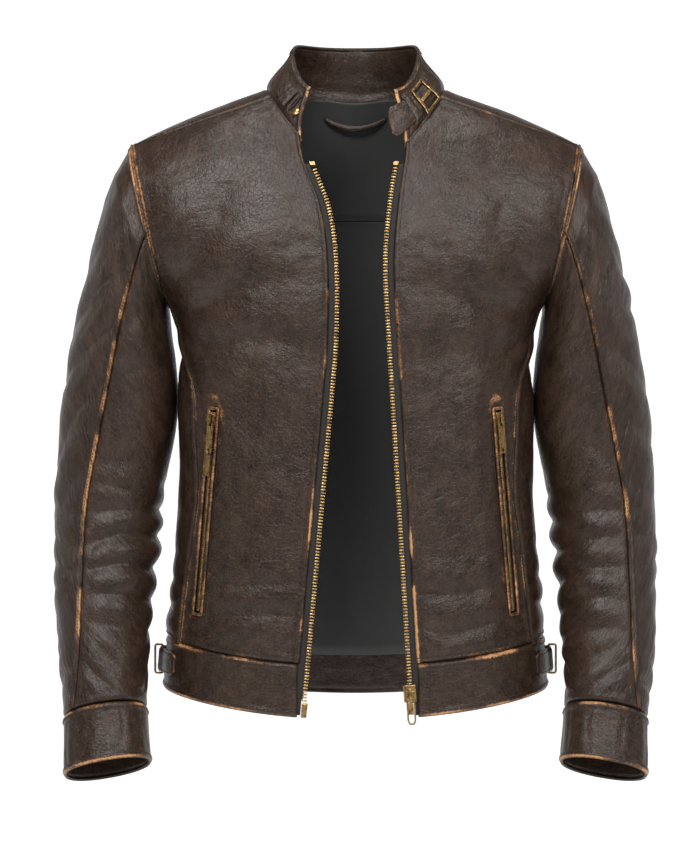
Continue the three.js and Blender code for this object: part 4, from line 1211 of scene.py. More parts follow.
# ---------------------------------------------------------------- sub-assemblies
@dataclass
class Workshop:
    """What each sub-assembly builds with: the finishes, and the way that a piece joins the frame."""

    finishes: Finishes
    pieces: int = 0

    def add(
        self, name: str, mesh: Mesh, material: bpy.types.Material, slot: Slot, body: str = "root",
        nodes: Sequence[str] = (), bend: tuple[Vector, Vector] | None = None, cut: Cut | None = None,
    ) -> bpy.types.Object:
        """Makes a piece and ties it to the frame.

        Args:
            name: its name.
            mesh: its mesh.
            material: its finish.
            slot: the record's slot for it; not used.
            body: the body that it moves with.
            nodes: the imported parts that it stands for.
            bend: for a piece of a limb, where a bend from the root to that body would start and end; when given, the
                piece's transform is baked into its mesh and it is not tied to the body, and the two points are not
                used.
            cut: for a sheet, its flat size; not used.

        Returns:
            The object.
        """
        made = self.tie(mesh.build(name, material), body, nodes, bend)
        return made

    def tie(
        self, made: bpy.types.Object, body: str, nodes: Sequence[str],
        bend: tuple[Vector, Vector] | None = None,
    ) -> bpy.types.Object:
        """Ties a made object to the frame."""
        solid = bmesh.new()
        solid.from_mesh(made.data)
        bmesh.ops.recalc_face_normals(solid, faces=solid.faces)
        solid.to_mesh(made.data)
        solid.free()
        if bend:
            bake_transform(made)
        else:
            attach(made, body)
        if nodes:
            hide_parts(*nodes)
        self.pieces += 1
        log.info("%s: %d faces", made.name, len(made.data.polygons))
        return made

    def panel(self, panel: Panel, body: str = "root", bend: tuple[Vector, Vector] | None = None) -> bpy.types.Object:
        """Makes a leather panel, or a strap where it is less than 28 mm wide."""
        worn = panel.slot is Slot.WORN
        material = self.finishes.cuff_hide if worn else self.finishes.hide
        cut = Cut.of(panel.grid, ring=panel.ring)
        strap = min(cut.width, cut.length) < 28 * MM
        return self.add(
            panel.name, panel.mesh(), material, panel.slot, body, panel.nodes, bend, None if strap else cut
        )

    def metal(self, node: str, body: str, name: str, ease: float = 0.28 * MM) -> bpy.types.Object:
        """A cast or pressed metal piece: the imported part's own form, its edges eased."""
        source = frame["nodes"][node]
        data = source.data.copy()
        data.name = name
        solid = bmesh.new()
        solid.from_mesh(data)
        bmesh.ops.remove_doubles(solid, verts=solid.verts, dist=1e-6)
        bmesh.ops.dissolve_limit(solid, angle_limit=math.radians(2), verts=solid.verts, edges=solid.edges)
        solid.to_mesh(data)
        solid.free()
        data.materials.clear()
        data.materials.append(self.finishes.brass)
        made = bpy.data.objects.new(name, data)
        bpy.context.scene.collection.objects.link(made)
        eased = made.modifiers.new("eased", "BEVEL")
        eased.width, eased.segments, eased.limit_method = ease, 3, "ANGLE"
        eased.angle_limit = math.radians(32)
        data.polygons.foreach_set("use_smooth", np.ones(len(data.polygons), bool))
        data.set_sharp_from_angle(angle=math.radians(38))
        return self.tie(made, body, (node,))


def side_name(side: int) -> str:
    """The name of the wearer's side."""
    return "left" if side > 0 else "right"


@dataclass
class Torso:
    """The body: two fronts, two side panels, the back, the yoke, the hem band and what is sewn inside them."""

    shop: Workshop
    folds: TorsoFolds = TorsoFolds()
    panels: dict[str, Panel] = field(default_factory=dict)

    def build(self) -> None:
        """Makes every piece of the body."""
        for side in (1, -1):
            name = side_name(side)
            self.panels[name + "_front"] = self.front(side)
            self.panels[name + "_side"] = self.side_panel(side)
            self.panels[name + "_band"] = self.front_band(side)
        self.panels["back"] = self.back()
        self.panels["yoke"] = self.yoke()
        self.panels["back_band"] = self.back_band()
        for panel in self.panels.values():
            self.shop.panel(panel)
        rows = [m for panel in self.panels.values() for m in panel.stitches()]
        self.shop.add("body_stitching", stacked(rows), self.shop.finishes.thread, Slot.LEATHER)
        self.lining()
        for side in (1, -1):
            self.facing(side)
        self.hanger()

    @staticmethod
    def centre(p: Array) -> Array:
        """The inner point that each point of a panel is drawn out from."""
        return np.stack([p[..., 0] * 0.35, np.zeros(p.shape[:-1]), np.minimum(p[..., 2], -0.12)], -1)

    def pressed(self, grid: Array, side: int) -> tuple[Array, Array, Array]:
        """How calm a front lies round its pocket, how far it dips under the pocket's teeth, and how near each point
        is to the strip that hands rub beside it."""
        low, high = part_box(side_name(side) + "_pocket_welt")
        middle = (np.array(low) + np.array(high)) / 2
        top, foot = FORM.pocket_ends(side)
        up = unit(top - foot)
        along = (grid - middle) @ up
        off = np.linalg.norm(grid - middle - along[..., None] * up, axis=-1)
        beyond = np.maximum(np.abs(along) - 0.107, 0)
        calm = smooth(np.hypot(off, np.maximum(np.maximum(along - 0.107, -0.14 - along), 0)), 11 * MM, 30 * MM)
        dip = (1 - smooth(off, 4.2 * MM, 6.4 * MM)) * (1 - smooth(np.abs(along), 0.103, 0.106))
        return calm, dip, hump(np.hypot(off, beyond), 8 * MM, 6 * MM)

    def front(self, side: int) -> Panel:
        """One front, between the zip edge, the neck, the yoke, the armhole and the side seam."""
        rows, columns = 230, 70
        _, neck, meets = FORM.neck_front_run()
        inner = int(np.argmin(np.abs(neck[:, 0] - np.abs(FORM.edge(side, neck[:, 2])))))
        rim = neck[meets:inner][::-1] * [side, 1, 1]
        top = joined([(rim, 0.3), (FORM.yoke_seam(side, abs(rim[-1, 0])), 0.7)], columns)
        corner = FORM.edge(side, np.array(-0.57))
        foot_x = side * np.linspace(abs(corner), FORM.side_seam(-0.57), 60)
        foot = resample(FORM.face(foot_x, FORM.band_top(foot_x)), columns)
        z = np.linspace(foot[0, 2], rim[0, 2], 120)
        edge = resample(FORM.face(FORM.edge(side, z), z), rows)
        z = np.linspace(foot[-1, 2], FORM.front_seam_top, 90)
        lower = FORM.face(side * FORM.side_seam(z), z)
        upper = FORM.armhole(side, -1, FORM.front_seam_top, float(top[-1, 2]))
        outer = joined([(lower, 0.62), (upper, 0.38)], rows)
        edge[0], edge[-1], outer[0], outer[-1] = foot[0], top[0], foot[-1], top[-1]
        grid = coons(foot, top, edge, outer)
        grid = FORM.onto(grid, self.centre(grid))
        calm, dip, beside = self.pressed(grid, side)
        rise = self.folds(grid) * calm - 6.2 * MM * dip - 1.2 * MM * (1 - calm) * (1 - dip)
        wear = 0.34 * (1 - smooth(edge_distances(grid)["low"], 0, 0.05)) * Noise(41).rough(grid, 0.02)
        wear += 0.95 * beside * smooth(Noise(42).rough(grid, 0.03), 0.42, 0.72)
        styles = {"first": FOLDED, "last": DOUBLE, "low": TOP, "high": TOP}
        name = side_name(side)
        return Panel(name + "_front_leather", grid, rise, styles, (name + "_front_panel",), extra_wear=wear)

    def side_panel(self, side: int) -> Panel:
        """One side panel, under the arm from the front seam to the back panel."""
        rows, columns = 150, 52
        z = np.linspace(-0.56, FORM.front_seam_top, 80)
        front = resample(FORM.face(side * FORM.side_seam(z), z), rows)
        back = resample(FORM.back_seam(side), rows)
        foot_z = -FORM.underarm + 0.5 * MM
        arm = [
            FORM.armhole(side, -1, FORM.front_seam_top, foot_z), FORM.armhole(side, 1, foot_z, FORM.back_seam_top)
        ]
        top = joined([(arm[0], 0.55), (arm[1], 0.45)], columns)
        start, stop = np.arctan2(front[0, 1], front[0, 0]), np.arctan2(back[0, 1], back[0, 0])
        foot = self.round_row(side, start, stop, 0.0, columns)
        front[0], front[-1], back[0], back[-1] = foot[0], top[0], foot[-1], top[-1]
        grid = coons(foot, top, front, back)
        grid = FORM.onto(grid, self.centre(grid))
        styles = {"first": SeamStyle(rows=0, wear=0.5), "last": TOP, "low": TOP, "high": PLAIN}
        name = side_name(side)
        return Panel(name + "_side_leather", grid, self.folds(grid), styles, (name + "_side_panel",))

    @staticmethod
    def round_row(side: int, start: float, stop: float, drop: float, count: int) -> Array:
        """A row round the body beside the hem band, between two directions seen from above."""
        turn = np.linspace(0, 2 * math.pi, 1441)
        ring = FORM.round_point(turn, FORM.band_top(FORM.hem_half * np.cos(turn)) - drop)
        ring[:, 2] = FORM.band_top(ring[:, 0]) - drop
        seen = np.unwrap(np.arctan2(ring[:, 1], ring[:, 0]))
        if side < 0:
            start, stop = (a + (2 * math.pi if a < 0 else 0) for a in (start, stop))
        at = np.linspace(start, stop, 300)
        base = np.where(at < seen[0], at + 2 * math.pi, at)
        line = np.stack([np.interp(base, seen, ring[:, i]) for i in range(3)], -1)
        return resample(line, count)

    def front_band(self, side: int) -> Panel:
        """The front part of the hem band, from the zip edge to the side."""
        rows, columns = 26, 120
        at_edge = FORM.face(FORM.edge(side, np.array(-0.6)), np.array(-0.6))
        start = math.atan2(at_edge[1], at_edge[0])
        stop = -0.001 if side > 0 else -math.pi + 0.001
        lines = [self.round_row(side, start, stop, d, columns) for d in np.linspace(FORM.band, 0.0005, rows)]
        grid = np.stack(lines)
        return self.band(side_name(side) + "_band_leather", grid, (side_name(side) + "_hem_band",))

    def back_band(self) -> Panel:
        """The back part of the hem band."""
        rows, columns = 26, 230
        lines = [self.round_row(1, 0.001, math.pi - 0.001, d, columns) for d in np.linspace(FORM.band, 0.0005, rows)]
        return self.band("back_band_leather", np.stack(lines), ("back_hem_band",))

    def band(self, name: str, grid: Array, nodes: tuple[str, ...]) -> Panel:
        """A part of the hem band, rubbed to tan along its lower edge."""
        pucker = crease(2 * math.pi * np.arctan2(grid[..., 1], grid[..., 0]) * 5.5 + 5 * Noise(51).at(grid, 0.05))
        rise = 0.9 * MM * pucker * (0.3 + Noise(52).at(grid, 0.06)) + 1.0 * MM * (Noise(53).rough(grid, 0.04) - 0.5)
        foot = edge_distances(grid)["low"]
        wear = 0.42 * (1 - smooth(foot, 0, 0.02)) * Noise(54).rough(grid, 0.035) + 0.12 * Noise(55).rough(grid, 0.03)
        low = SeamStyle(stitch=7 * MM, wear=0.8, reach=2.4 * MM, roll=1.6)
        styles = {"low": low, "high": RUBBED, "first": PLAIN, "last": PLAIN}
        return Panel(name, grid, rise, styles, nodes, extra_wear=wear)

    def back(self) -> Panel:
        """The back, below the yoke."""
        rows, columns = 190, 150
        sides = []
        for side in (1, -1):
            upper = FORM.armhole(side, 1, FORM.back_seam_top, -FORM.yoke_back)
            sides.append(joined([(FORM.back_seam(side), 0.78), (upper, 0.22)], rows))
        x = np.linspace(sides[0][-1, 0], sides[1][-1, 0], 120)
        top = resample(FORM.face(x, np.full(x.shape, -FORM.yoke_back), 0, 1), columns)
        start, stop = (np.arctan2(s[0, 1], s[0, 0]) for s in sides)
        foot = self.round_row(1, float(start), float(stop), 0.0, columns)
        for s, i in zip(sides, (0, -1)):
            s[0], s[-1] = foot[i], top[i]
        grid = coons(foot, top, *sides)
        grid = FORM.onto(grid, self.centre(grid))
        side_style = SeamStyle(wear=0.6)
        styles = {"first": side_style, "last": side_style, "low": TOP, "high": TOP}
        return Panel("back_leather", grid, self.folds(grid), styles, ("back_panel",))

    def yoke(self) -> Panel:
        """The yoke, from the front seams over the shoulders and across the back."""
        rows, columns = 62, 240
        angles, _, meets = FORM.neck_front_run()
        rim = resample(FORM.neck(np.linspace(angles[meets], math.pi - angles[meets], 300)), columns)
        seams = [resample(FORM.yoke_seam(side, abs(rim[0, 0])), rows) for side in (1, -1)]
        arms = []
        peak = -FORM.shoulder_drop - 0.1 * MM
        for side, line in zip((1, -1), seams):
            tip = FORM.armhole(side, -1, float(line[-1, 2]), peak, 20)
            down = FORM.armhole(side, 1, peak, -FORM.yoke_back)
            arms.append(np.concatenate([tip, down[1:]]))
        x = np.linspace(arms[0][-1, 0], arms[1][-1, 0], 160)
        across = FORM.face(x, np.full(x.shape, -FORM.yoke_back), 0, 1)
        outer = joined([(arms[0], 0.2), (across, 0.6), (arms[1][::-1], 0.2)], columns)
        seams[0][0], seams[0][-1], seams[1][0], seams[1][-1] = rim[0], outer[0], rim[-1], outer[-1]
        grid = coons(rim, outer, *seams)
        centre = np.stack([grid[..., 0] * 0.55, np.zeros(grid.shape[:-1]), np.full(grid.shape[:-1], -0.15)], -1)
        grid = FORM.onto(grid, centre)
        rise = self.folds(grid) * 0.55
        wear = 0.16 * Noise(61).rough(grid, 0.04)
        seam = SeamStyle(wear=0.5)
        styles = {"low": PLAIN, "high": TOP, "first": seam, "last": seam}
        return Panel("yoke_leather", grid, rise, styles, ("shoulder_yoke",), extra_wear=wear)

    def lining(self) -> None:
        """The lining: each panel's own shape a little way in, as one sewn piece."""
        meshes, grids = [], []
        for name, panel in self.panels.items():
            if name.endswith("band"):
                continue
            grid = panel.grid[::2, ::2]
            if name == "yoke":
                tail = grid[-1:] + np.array([0, 0, -9 * MM]) * (grid[-1:, :, 1:2] > 0.03)
                grid = np.concatenate([grid, tail])
            if name.endswith("_front"):
                grid = grid[:, 7:]
            if name != "yoke":
                grid = np.concatenate([grid[:1] - np.array([0, 0, 12 * MM]), grid])
            normal = grid_normals(grid)
            out = unit(grid - self.centre(grid))
            normal = normal * np.where((normal * out).sum(-1, keepdims=True) < 0, -1, 1)
            soft = 1.2 * MM * (Noise(71).rough(grid, 0.05) - 0.5)
            deep = grid - normal * (6.4 * MM + soft)[..., None]
            meshes.append(sheet_mesh(deep, normal, 1 * MM, np.zeros(grid.shape[:2])))
            grids.append(deep)
        self.shop.add(
            "body_lining_cloth", stacked(meshes), self.shop.finishes.lining, Slot.LINING, nodes=("body_lining",),
            cut=Cut.of(*grids),
        )

    def facing(self, side: int) -> None:
        """The leather facing inside one zip edge."""
        z = np.linspace(-0.62, -0.074, 180)[:, None]
        away = np.linspace(1 * MM, 30 * MM, 12)[None]
        grid = FORM.face(FORM.edge(side, z) + side * away, z, 3.9 * MM)
        name = side_name(side)
        panel = Panel(
            name + "_facing_leather", grid, np.zeros(grid.shape[:2]), {"last": PLAIN}, (name + "_front_facing",),
            thick=1.3 * MM,
        )
        self.shop.panel(panel)

    def hanger(self) -> None:
        """The leather loop that the jacket is hung by, inside the back of the neck."""
        t = np.linspace(-1, 1, 60)[None]
        down = np.linspace(-7 * MM, 0, 6)[:, None]
        away = 7.9 * MM + 9 * MM * np.cos(t * math.pi / 2 * 0.999) ** 0.7
        z = -6 * MM + 9 * MM * t * t + down
        grid = np.stack(np.broadcast_arrays(34 * MM * t, np.zeros((6, 60)), z), -1)
        wall = FORM.face(grid[..., 0], grid[..., 2], 0, 1)
        slope = unit(wall - FORM.face(grid[..., 0], grid[..., 2], 1 * MM, 1))
        grid = wall - slope * np.broadcast_to(away, z.shape)[..., None]
        panel = Panel("hanger_loop_leather", grid, np.zeros(z.shape), {"low": PLAIN, "high": PLAIN}, ("hanger_loop",),
                      thick=1.2 * MM, core=wall)
        self.shop.panel(panel)


@dataclass
class Sleeve:
    """One sleeve: its top and under pieces, the rolled armhole seam, the lining and the cuff."""

    shop: Workshop
    side: int
    bend: float = 0.06

    def __post_init__(self) -> None:
        """The sleeve's form, its folds, and the two points of a bend from the body, which nothing bends about."""
        self.name = side_name(self.side)
        self.form = SleeveForm(self.side)
        self.folds = SleeveFolds(100 if self.side > 0 else 140)
        start = np.array([self.side * 0.2, 0, -0.205])
        stop = start + self.bend * np.array([self.side * 0.961, 0, -0.276])
        self.ends = (Vector(start), Vector(stop))
        self.body = self.name + "_sleeve"

    def build(self) -> None:
        """Makes every piece of the sleeve."""
        stitches = []
        for part, top in (("top", True), ("under", False)):
            panel = self.part(part, top)
            self.shop.panel(panel, self.body, self.ends)
            stitches += panel.stitches()
        self.shop.add(
            self.name + "_sleeve_stitching", stacked(stitches), self.shop.finishes.thread, Slot.LEATHER, self.body,
            bend=self.ends,
        )
        self.rolled_seam()
        self.lining()
        self.cuff()

    def part(self, part: str, top: bool) -> Panel:
        """The top sleeve, round the outside, or the under sleeve, round the inside."""
        rows, columns = 230, 100 if top else 80
        s = np.linspace(0, 1, rows) ** 0.95 * 10.985
        front, back = self.form.seam(s, False)[:, None], self.form.seam(s, True)[:, None]
        t = np.linspace(0, 1, columns)[None]
        angle = front + (back - front) * t if top else back + (2 * math.pi + front - back) * t
        grid = self.form.point(angle, s[:, None] + angle * 0)
        rise = self.folds(grid, angle, s[:, None] + angle * 0)
        patches = Noise(77).rough(grid, 0.05)
        elbow = 0.22 * hump(grid[..., 2], -0.46, 0.07) * patches * np.abs(np.sin(angle / 2 + 0.4))
        seam = SeamStyle(stitch=2.6 * MM, rows=2, wear=0.85, reach=4.5 * MM, roll=2.2)
        other = SeamStyle(wear=0.6, roll=1.3)
        styles = {"first": seam if top else other, "last": other if top else SeamStyle(rows=0, wear=0.5),
                  "low": SeamStyle(stitch=6 * MM, wear=0.85, reach=7 * MM, roll=2.0), "high": PLAIN}
        return Panel(
            f"{self.name}_{part}_sleeve_leather", grid, rise, styles, (f"{self.name}_{part}_sleeve",),
            extra_wear=elbow, seed=9, core=self.axis(s[:, None]),
        )

    def axis(self, s: Array) -> Array:
        """The middle of the sleeve at each place s along it."""
        turn = np.linspace(0, 2 * math.pi, 37)[None, :-1]
        return self.form.point(turn + 0 * s, s + 0 * turn).mean(1, keepdims=True)

    def rolled_seam(self) -> None:
        """The piped seam round the armhole, rubbed to tan."""
        angle = np.linspace(-math.pi, math.pi, 260)
        line = self.form.point(angle, np.full(angle.shape, 0.012), -0.2 * MM)
        rub = Noise(81).rough(line, 0.03)
        cord = tube(line, 1.5 * MM, 10)
        cord.wear = np.repeat(0.1 + 1.0 * rub, 10)
        self.shop.add(
            self.name + "_armhole_piping", cord, self.shop.finishes.cuff_hide, Slot.WORN, self.body, bend=self.ends
        )

    def lining(self) -> None:
        """The sleeve's lining, from the armhole to inside the cuff."""
        angle = np.linspace(-math.pi, math.pi, 73)[None, :-1]
        s = np.linspace(0, 11.5, 120)[:, None]
        depth = 4.4 * MM + 3.2 * MM * smooth(s, 0.2, 1.5) * (1 - smooth(s, 9.8, 10.9))
        grid = self.form.point(angle + 0 * s, s + 0 * angle)
        normal = grid_normals(grid, True)
        out = grid - grid.mean(1, keepdims=True)
        normal = normal * np.sign((normal * out).sum(-1).mean())
        soft = 1.4 * MM * (Noise(83).rough(grid, 0.04) - 0.5)
        deep = grid - normal * (depth + soft)[..., None]
        mesh = sheet_mesh(deep, normal, 1 * MM, np.zeros(grid.shape[:2]), True)
        self.shop.add(
            self.name + "_sleeve_lining_cloth", mesh, self.shop.finishes.lining, Slot.LINING, self.body,
            (self.name + "_sleeve_lining",), self.ends, Cut.of(deep, ring=True),
        )

    def cuff(self) -> None:
        """The cuff: a closed band, topstitched along both edges and rubbed along its end."""
        angle = np.linspace(0, 2 * math.pi, 181)[None, :-1] + 2.2
        s = np.linspace(11.006, 12, 30)[:, None]
        grid = self.form.point(angle + 0 * s, s + 0 * angle, -0.7 * MM)
        pucker = crease(angle * 17 + 5 * Noise(91).at(grid, 0.03))
        rise = 0.8 * MM * pucker * (0.3 + Noise(92).at(grid, 0.04)) + 1.2 * MM * (Noise(93).rough(grid, 0.035) - 0.5)
        end = edge_distances(grid)["high"]
        wear = 0.5 * (1 - smooth(end, 0, 0.022)) * Noise(94).rough(grid, 0.03) + 0.2 * Noise(95).rough(grid, 0.03)
        low = SeamStyle(wear=0.85, reach=4 * MM, roll=1.6)
        high = SeamStyle(stitch=6.5 * MM, wear=0.8, reach=2.2 * MM, roll=1.6)
        panel = Panel(
            self.name + "_cuff_leather", grid, rise, {"low": low, "high": high}, (self.name + "_cuff",),
            thick=2.6 * MM, extra_wear=wear, slot=Slot.WORN, ring=True, core=self.axis(s),
        )
        self.shop.panel(panel, self.body)
        self.shop.add(
            self.name + "_cuff_stitching", stacked(panel.stitches()), self.shop.finishes.thread, Slot.WORN, self.body
        )


@dataclass
class Collar:
    """The stand collar: two fronts and the back, the buckled strap on one side and the loop on the other."""

    shop: Workshop

    def build(self) -> None:
        """Makes every piece of the collar."""
        seam = math.asin(-4 / 95)
        panels = [
            self.part("collar_left_leather", self.front_end(1), seam - 0.0019, 60, "collar_left"),
            self.part("collar_back_leather", seam + 0.0019, math.pi - seam - 0.0019, 170, "collar_back"),
            self.part("collar_right_leather", math.pi - seam + 0.0019, self.front_end(-1), 60, "collar_right"),
        ]
        rows = []
        for panel in panels:
            self.shop.panel(panel)
            rows += panel.stitches()
        strap = self.strap()
        self.shop.panel(strap)
        rows += strap.stitches()
        for piece, node, turn, rise, off, thick in (
            ("strap_keeper_leather", "collar_strap_keeper", (-49.4, -44.1), (0.22, 0.84), 4.9 * MM, 1.6 * MM),
            ("collar_loop_leather", "collar_loop", (210.0, 218.0), (0.30, 0.76), 4.6 * MM, 1.8 * MM),
        ):
            self.shop.panel(self.patch(piece, *turn, *rise, off, thick, node))
        self.shop.add("collar_stitching", stacked(rows), self.shop.finishes.thread, Slot.LEATHER)
        self.slot_binding()
        self.shop.metal("collar_buckle", "collar_buckle_body", "collar_buckle_frame", 0.4 * MM)
        self.shop.metal("collar_prong", "collar_prong_body", "collar_buckle_prong", 0.3 * MM)
        self.shop.metal("collar_stud", "root", "collar_snap_stud", 0.2 * MM)

    @staticmethod
    def front_end(side: int) -> Array:
        """The angle of the collar's front end at each of its heights."""
        t = np.linspace(0, 1, 48)
        low, high = (-math.pi / 2, 0.0) if side > 0 else (1.5 * math.pi, math.pi)
        low, high = np.full(t.shape, low), np.full(t.shape, high)
        for _ in range(30):
            middle = (low + high) / 2
            p = FORM.collar(middle, t)
            beyond = np.abs(p[:, 0]) > np.abs(FORM.edge(side, p[:, 2]))
            high, low = np.where(beyond, middle, high), np.where(beyond, low, middle)
        return low

    def part(self, name: str, start: Array | float, stop: Array | float, columns: int, node: str) -> Panel:
        """One piece of the collar between two angles.

        Args:
            name: the piece's name.
            start: the angle at which it starts, for all its height or for each row.
            stop: the angle at which it stops.
            columns: points round it.
            node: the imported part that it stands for.

        Returns:
            The panel.
        """
        t = np.linspace(0, 1, 48)[:, None]
        start, stop = (np.broadcast_to(np.asarray(a, float).reshape(-1, 1), t.shape) for a in (start, stop))
        angle = start + (stop - start) * np.linspace(0, 1, columns)[None]
        grid = FORM.collar(angle, t + 0 * angle, -0.35 * MM)
        rise = 1.6 * MM * (Noise(201).rough(grid, 0.03) - 0.5)
        wave = crease(2 * math.pi * grid[..., 2] / 0.024 + 5 * Noise(202).at(grid, 0.04))
        rise += 0.9 * MM * wave * hump(t + 0 * angle, 0.3, 0.25)
        edge = FOLDED if node != "collar_back" else TOP
        styles = {"high": SeamStyle(stitch=5 * MM, wear=0.95, reach=2.6 * MM, roll=1.2),
                  "first": edge if node == "collar_left" else PLAIN,
                  "last": edge if node == "collar_right" else PLAIN, "low": PLAIN}
        return Panel(name, grid, rise, styles, (node,), thick=3 * MM, seed=12)

    def strap(self) -> Panel:
        """The strap that buckles the collar, its free end rounded."""
        columns, rows = 130, 26
        u = np.linspace(0, 1, columns)[None]
        v = np.linspace(-1, 1, rows)[:, None]
        angle = np.radians(-66 + 46 * u)
        end = np.sqrt(np.clip(1 - np.clip((0.1 - u) / 0.1, 0, 1) ** 2 * 0.75, 0, 1))
        t = 0.53 + 0.23 * v * end
        bow = 1.4 * MM * hump(u, 0.2, 0.12) * (1 - 0.5 * v**2)
        off = 2.6 * MM - 0.7 * MM * smooth(u, 0.36, 0.46)
        grid = FORM.collar(angle + 0 * v, t, off + bow + 0 * v)
        rise = 0.4 * MM * (Noise(211).rough(grid, 0.02) - 0.5)
        rim = SeamStyle(stitch=3.4 * MM, wear=0.6, reach=1.6 * MM, roll=0.35)
        styles = {"low": rim, "high": rim, "first": SeamStyle(rows=0, wear=0.9, roll=0.3)}
        return Panel("collar_strap_leather", grid, rise, styles, ("collar_strap",), thick=1.4 * MM, seed=14)

    def patch(
        self, name: str, start: float, stop: float, low: float, high: float, off: float, thick: float, node: str
    ) -> Panel:
        """A short band over the collar whose two ends dip down to it.

        Args:
            name: its name.
            start: the angle at which it starts, in degrees.
            stop: the angle at which it stops.
            low: where it starts up the collar's height.
            high: where it stops.
            off: how far it stands off the collar at its middle.
            thick: its thickness.
            node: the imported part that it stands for.

        Returns:
            The panel.
        """
        u = np.linspace(0, 1, 14)[None]
        v = np.linspace(0, 1, 46)[:, None]
        angle = np.radians(start + (stop - start) * u)
        foot = 1 - smooth(np.minimum(v, 1 - v), 0.02, 0.17)
        away = off - (off - thick - 0.3 * MM) * foot
        grid = FORM.collar(angle + 0 * v, low + (high - low) * v + 0 * u, away + 0 * u)
        rim = SeamStyle(rows=0, wear=0.8, reach=1.4 * MM, roll=0.2)
        return Panel(name, grid, np.zeros(grid.shape[:2]), {"first": rim, "last": rim}, (node,), thick=thick, seed=16)

    def slot_binding(self) -> None:
        """The slim bound slot in front of the loop, and the folded strip beside it."""
        t = np.linspace(0.36, 0.74, 30)
        rim = np.concatenate([t, t[::-1]])
        width = np.sin(np.linspace(0, 2 * math.pi, 61)[:-1]) * 1.1
        centre = FORM.collar(np.radians(221.0 + width), rim, 0.7 * MM)
        lip = tube(np.concatenate([centre, centre[:1]]), 0.75 * MM, 8, 0.35)
        self.shop.add("collar_slot_binding", lip, self.shop.finishes.hide, Slot.LEATHER)


@dataclass
class MainZip:
    """The front zip, open: tape and teeth down both edges, with the slider, retainer box and pin at the foot."""

    shop: Workshop
    near: float = 5.35 * MM
    wide: float = 5.2 * MM
    pitch: float = 3.1 * MM

    def build(self) -> None:
        """Makes every piece of the zip."""
        for side in (1, -1):
            self.tape(side)
            self.teeth(side)
            name = side_name(side)
            self.shop.metal(name + "_zip_top_stop", "root", name + "_top_stop")
        self.shop.metal("zip_retainer_box", "root", "retainer_box", 0.5 * MM)
        self.shop.metal("zip_insertion_pin", "root", "insertion_pin", 0.5 * MM)
        self.shop.metal("zip_slider", "zip_slider_body", "main_zip_slider", 0.5 * MM)
        self.shop.metal("zip_pull", "zip_pull_body", "main_zip_pull", 0.45 * MM)

    def tape(self, side: int) -> None:
        """The woven tape, with a corded edge under the teeth."""
        z = np.linspace(-0.624, -0.070, 260)[:, None]
        away = np.linspace(-5.0 * MM, 12 * MM, 12)[None]
        grid, slope = FORM.under(FORM.edge(side, z) + side * away, z + 0 * away, 2.7 * MM)
        name = side_name(side)
        mesh = sheet_mesh(grid, slope, 0.7 * MM, np.zeros(grid.shape[:2]))
        self.shop.add(
            name + "_zip_tape_cloth", mesh, self.shop.finishes.tape, Slot.TAPE, nodes=(name + "_zip_tape",),
            cut=Cut.of(grid),
        )

    def teeth(self, side: int) -> None:
        """The teeth: each a cast block with a raised nib at its free end, on a corded spine."""
        z = np.arange(-0.611, -0.073, self.pitch) + (self.pitch / 2 if side < 0 else 0)
        z = z[z < -0.0735]
        base = FORM.edge(side, z) - side * (self.near + self.wide / 2)
        middle, out = FORM.under(base, z, 3.05 * MM)
        up = unit(np.gradient(middle, axis=0))
        across = unit(np.cross(up, out))
        towards = across * np.sign((across * [-side, 0, 0]).sum(-1, keepdims=True))
        block = Tooth(4.4 * MM, 1.75 * MM, 2.7 * MM).rows(middle - towards * 0.4 * MM, across, up, out)
        nib = Tooth(1.5 * MM, 1.2 * MM, 2.0 * MM).rows(middle + towards * 1.85 * MM, across, up, out)
        name = side_name(side)
        cord = tube(resample(middle - towards * 2.3 * MM, 200), 1.15 * MM, 8)
        self.shop.add(
            name + "_zip_teeth", stacked([block, nib]), self.shop.finishes.brass, Slot.BRASS,
            nodes=(name + "_zip_chain",),
        )
        self.shop.add(name + "_zip_cord", cord, self.shop.finishes.tape, Slot.TAPE)


WELT = Sweep(
    tuple(
        (a * MM, b * MM)
        for a, b in (
            (-1.7, -2.2), (-1.7, 0.1), (-1.35, 0.75), (-0.5, 1.25), (0.5, 1.3), (1.3, 0.85), (1.65, 0.1), (1.65, -2.2),
        )
    )
)
WELT_RUB = (0.2, 0.5, 0.95, 0.75, 0.65, 1.0, 0.7, 0.2)  # how rubbed each corner of that section is


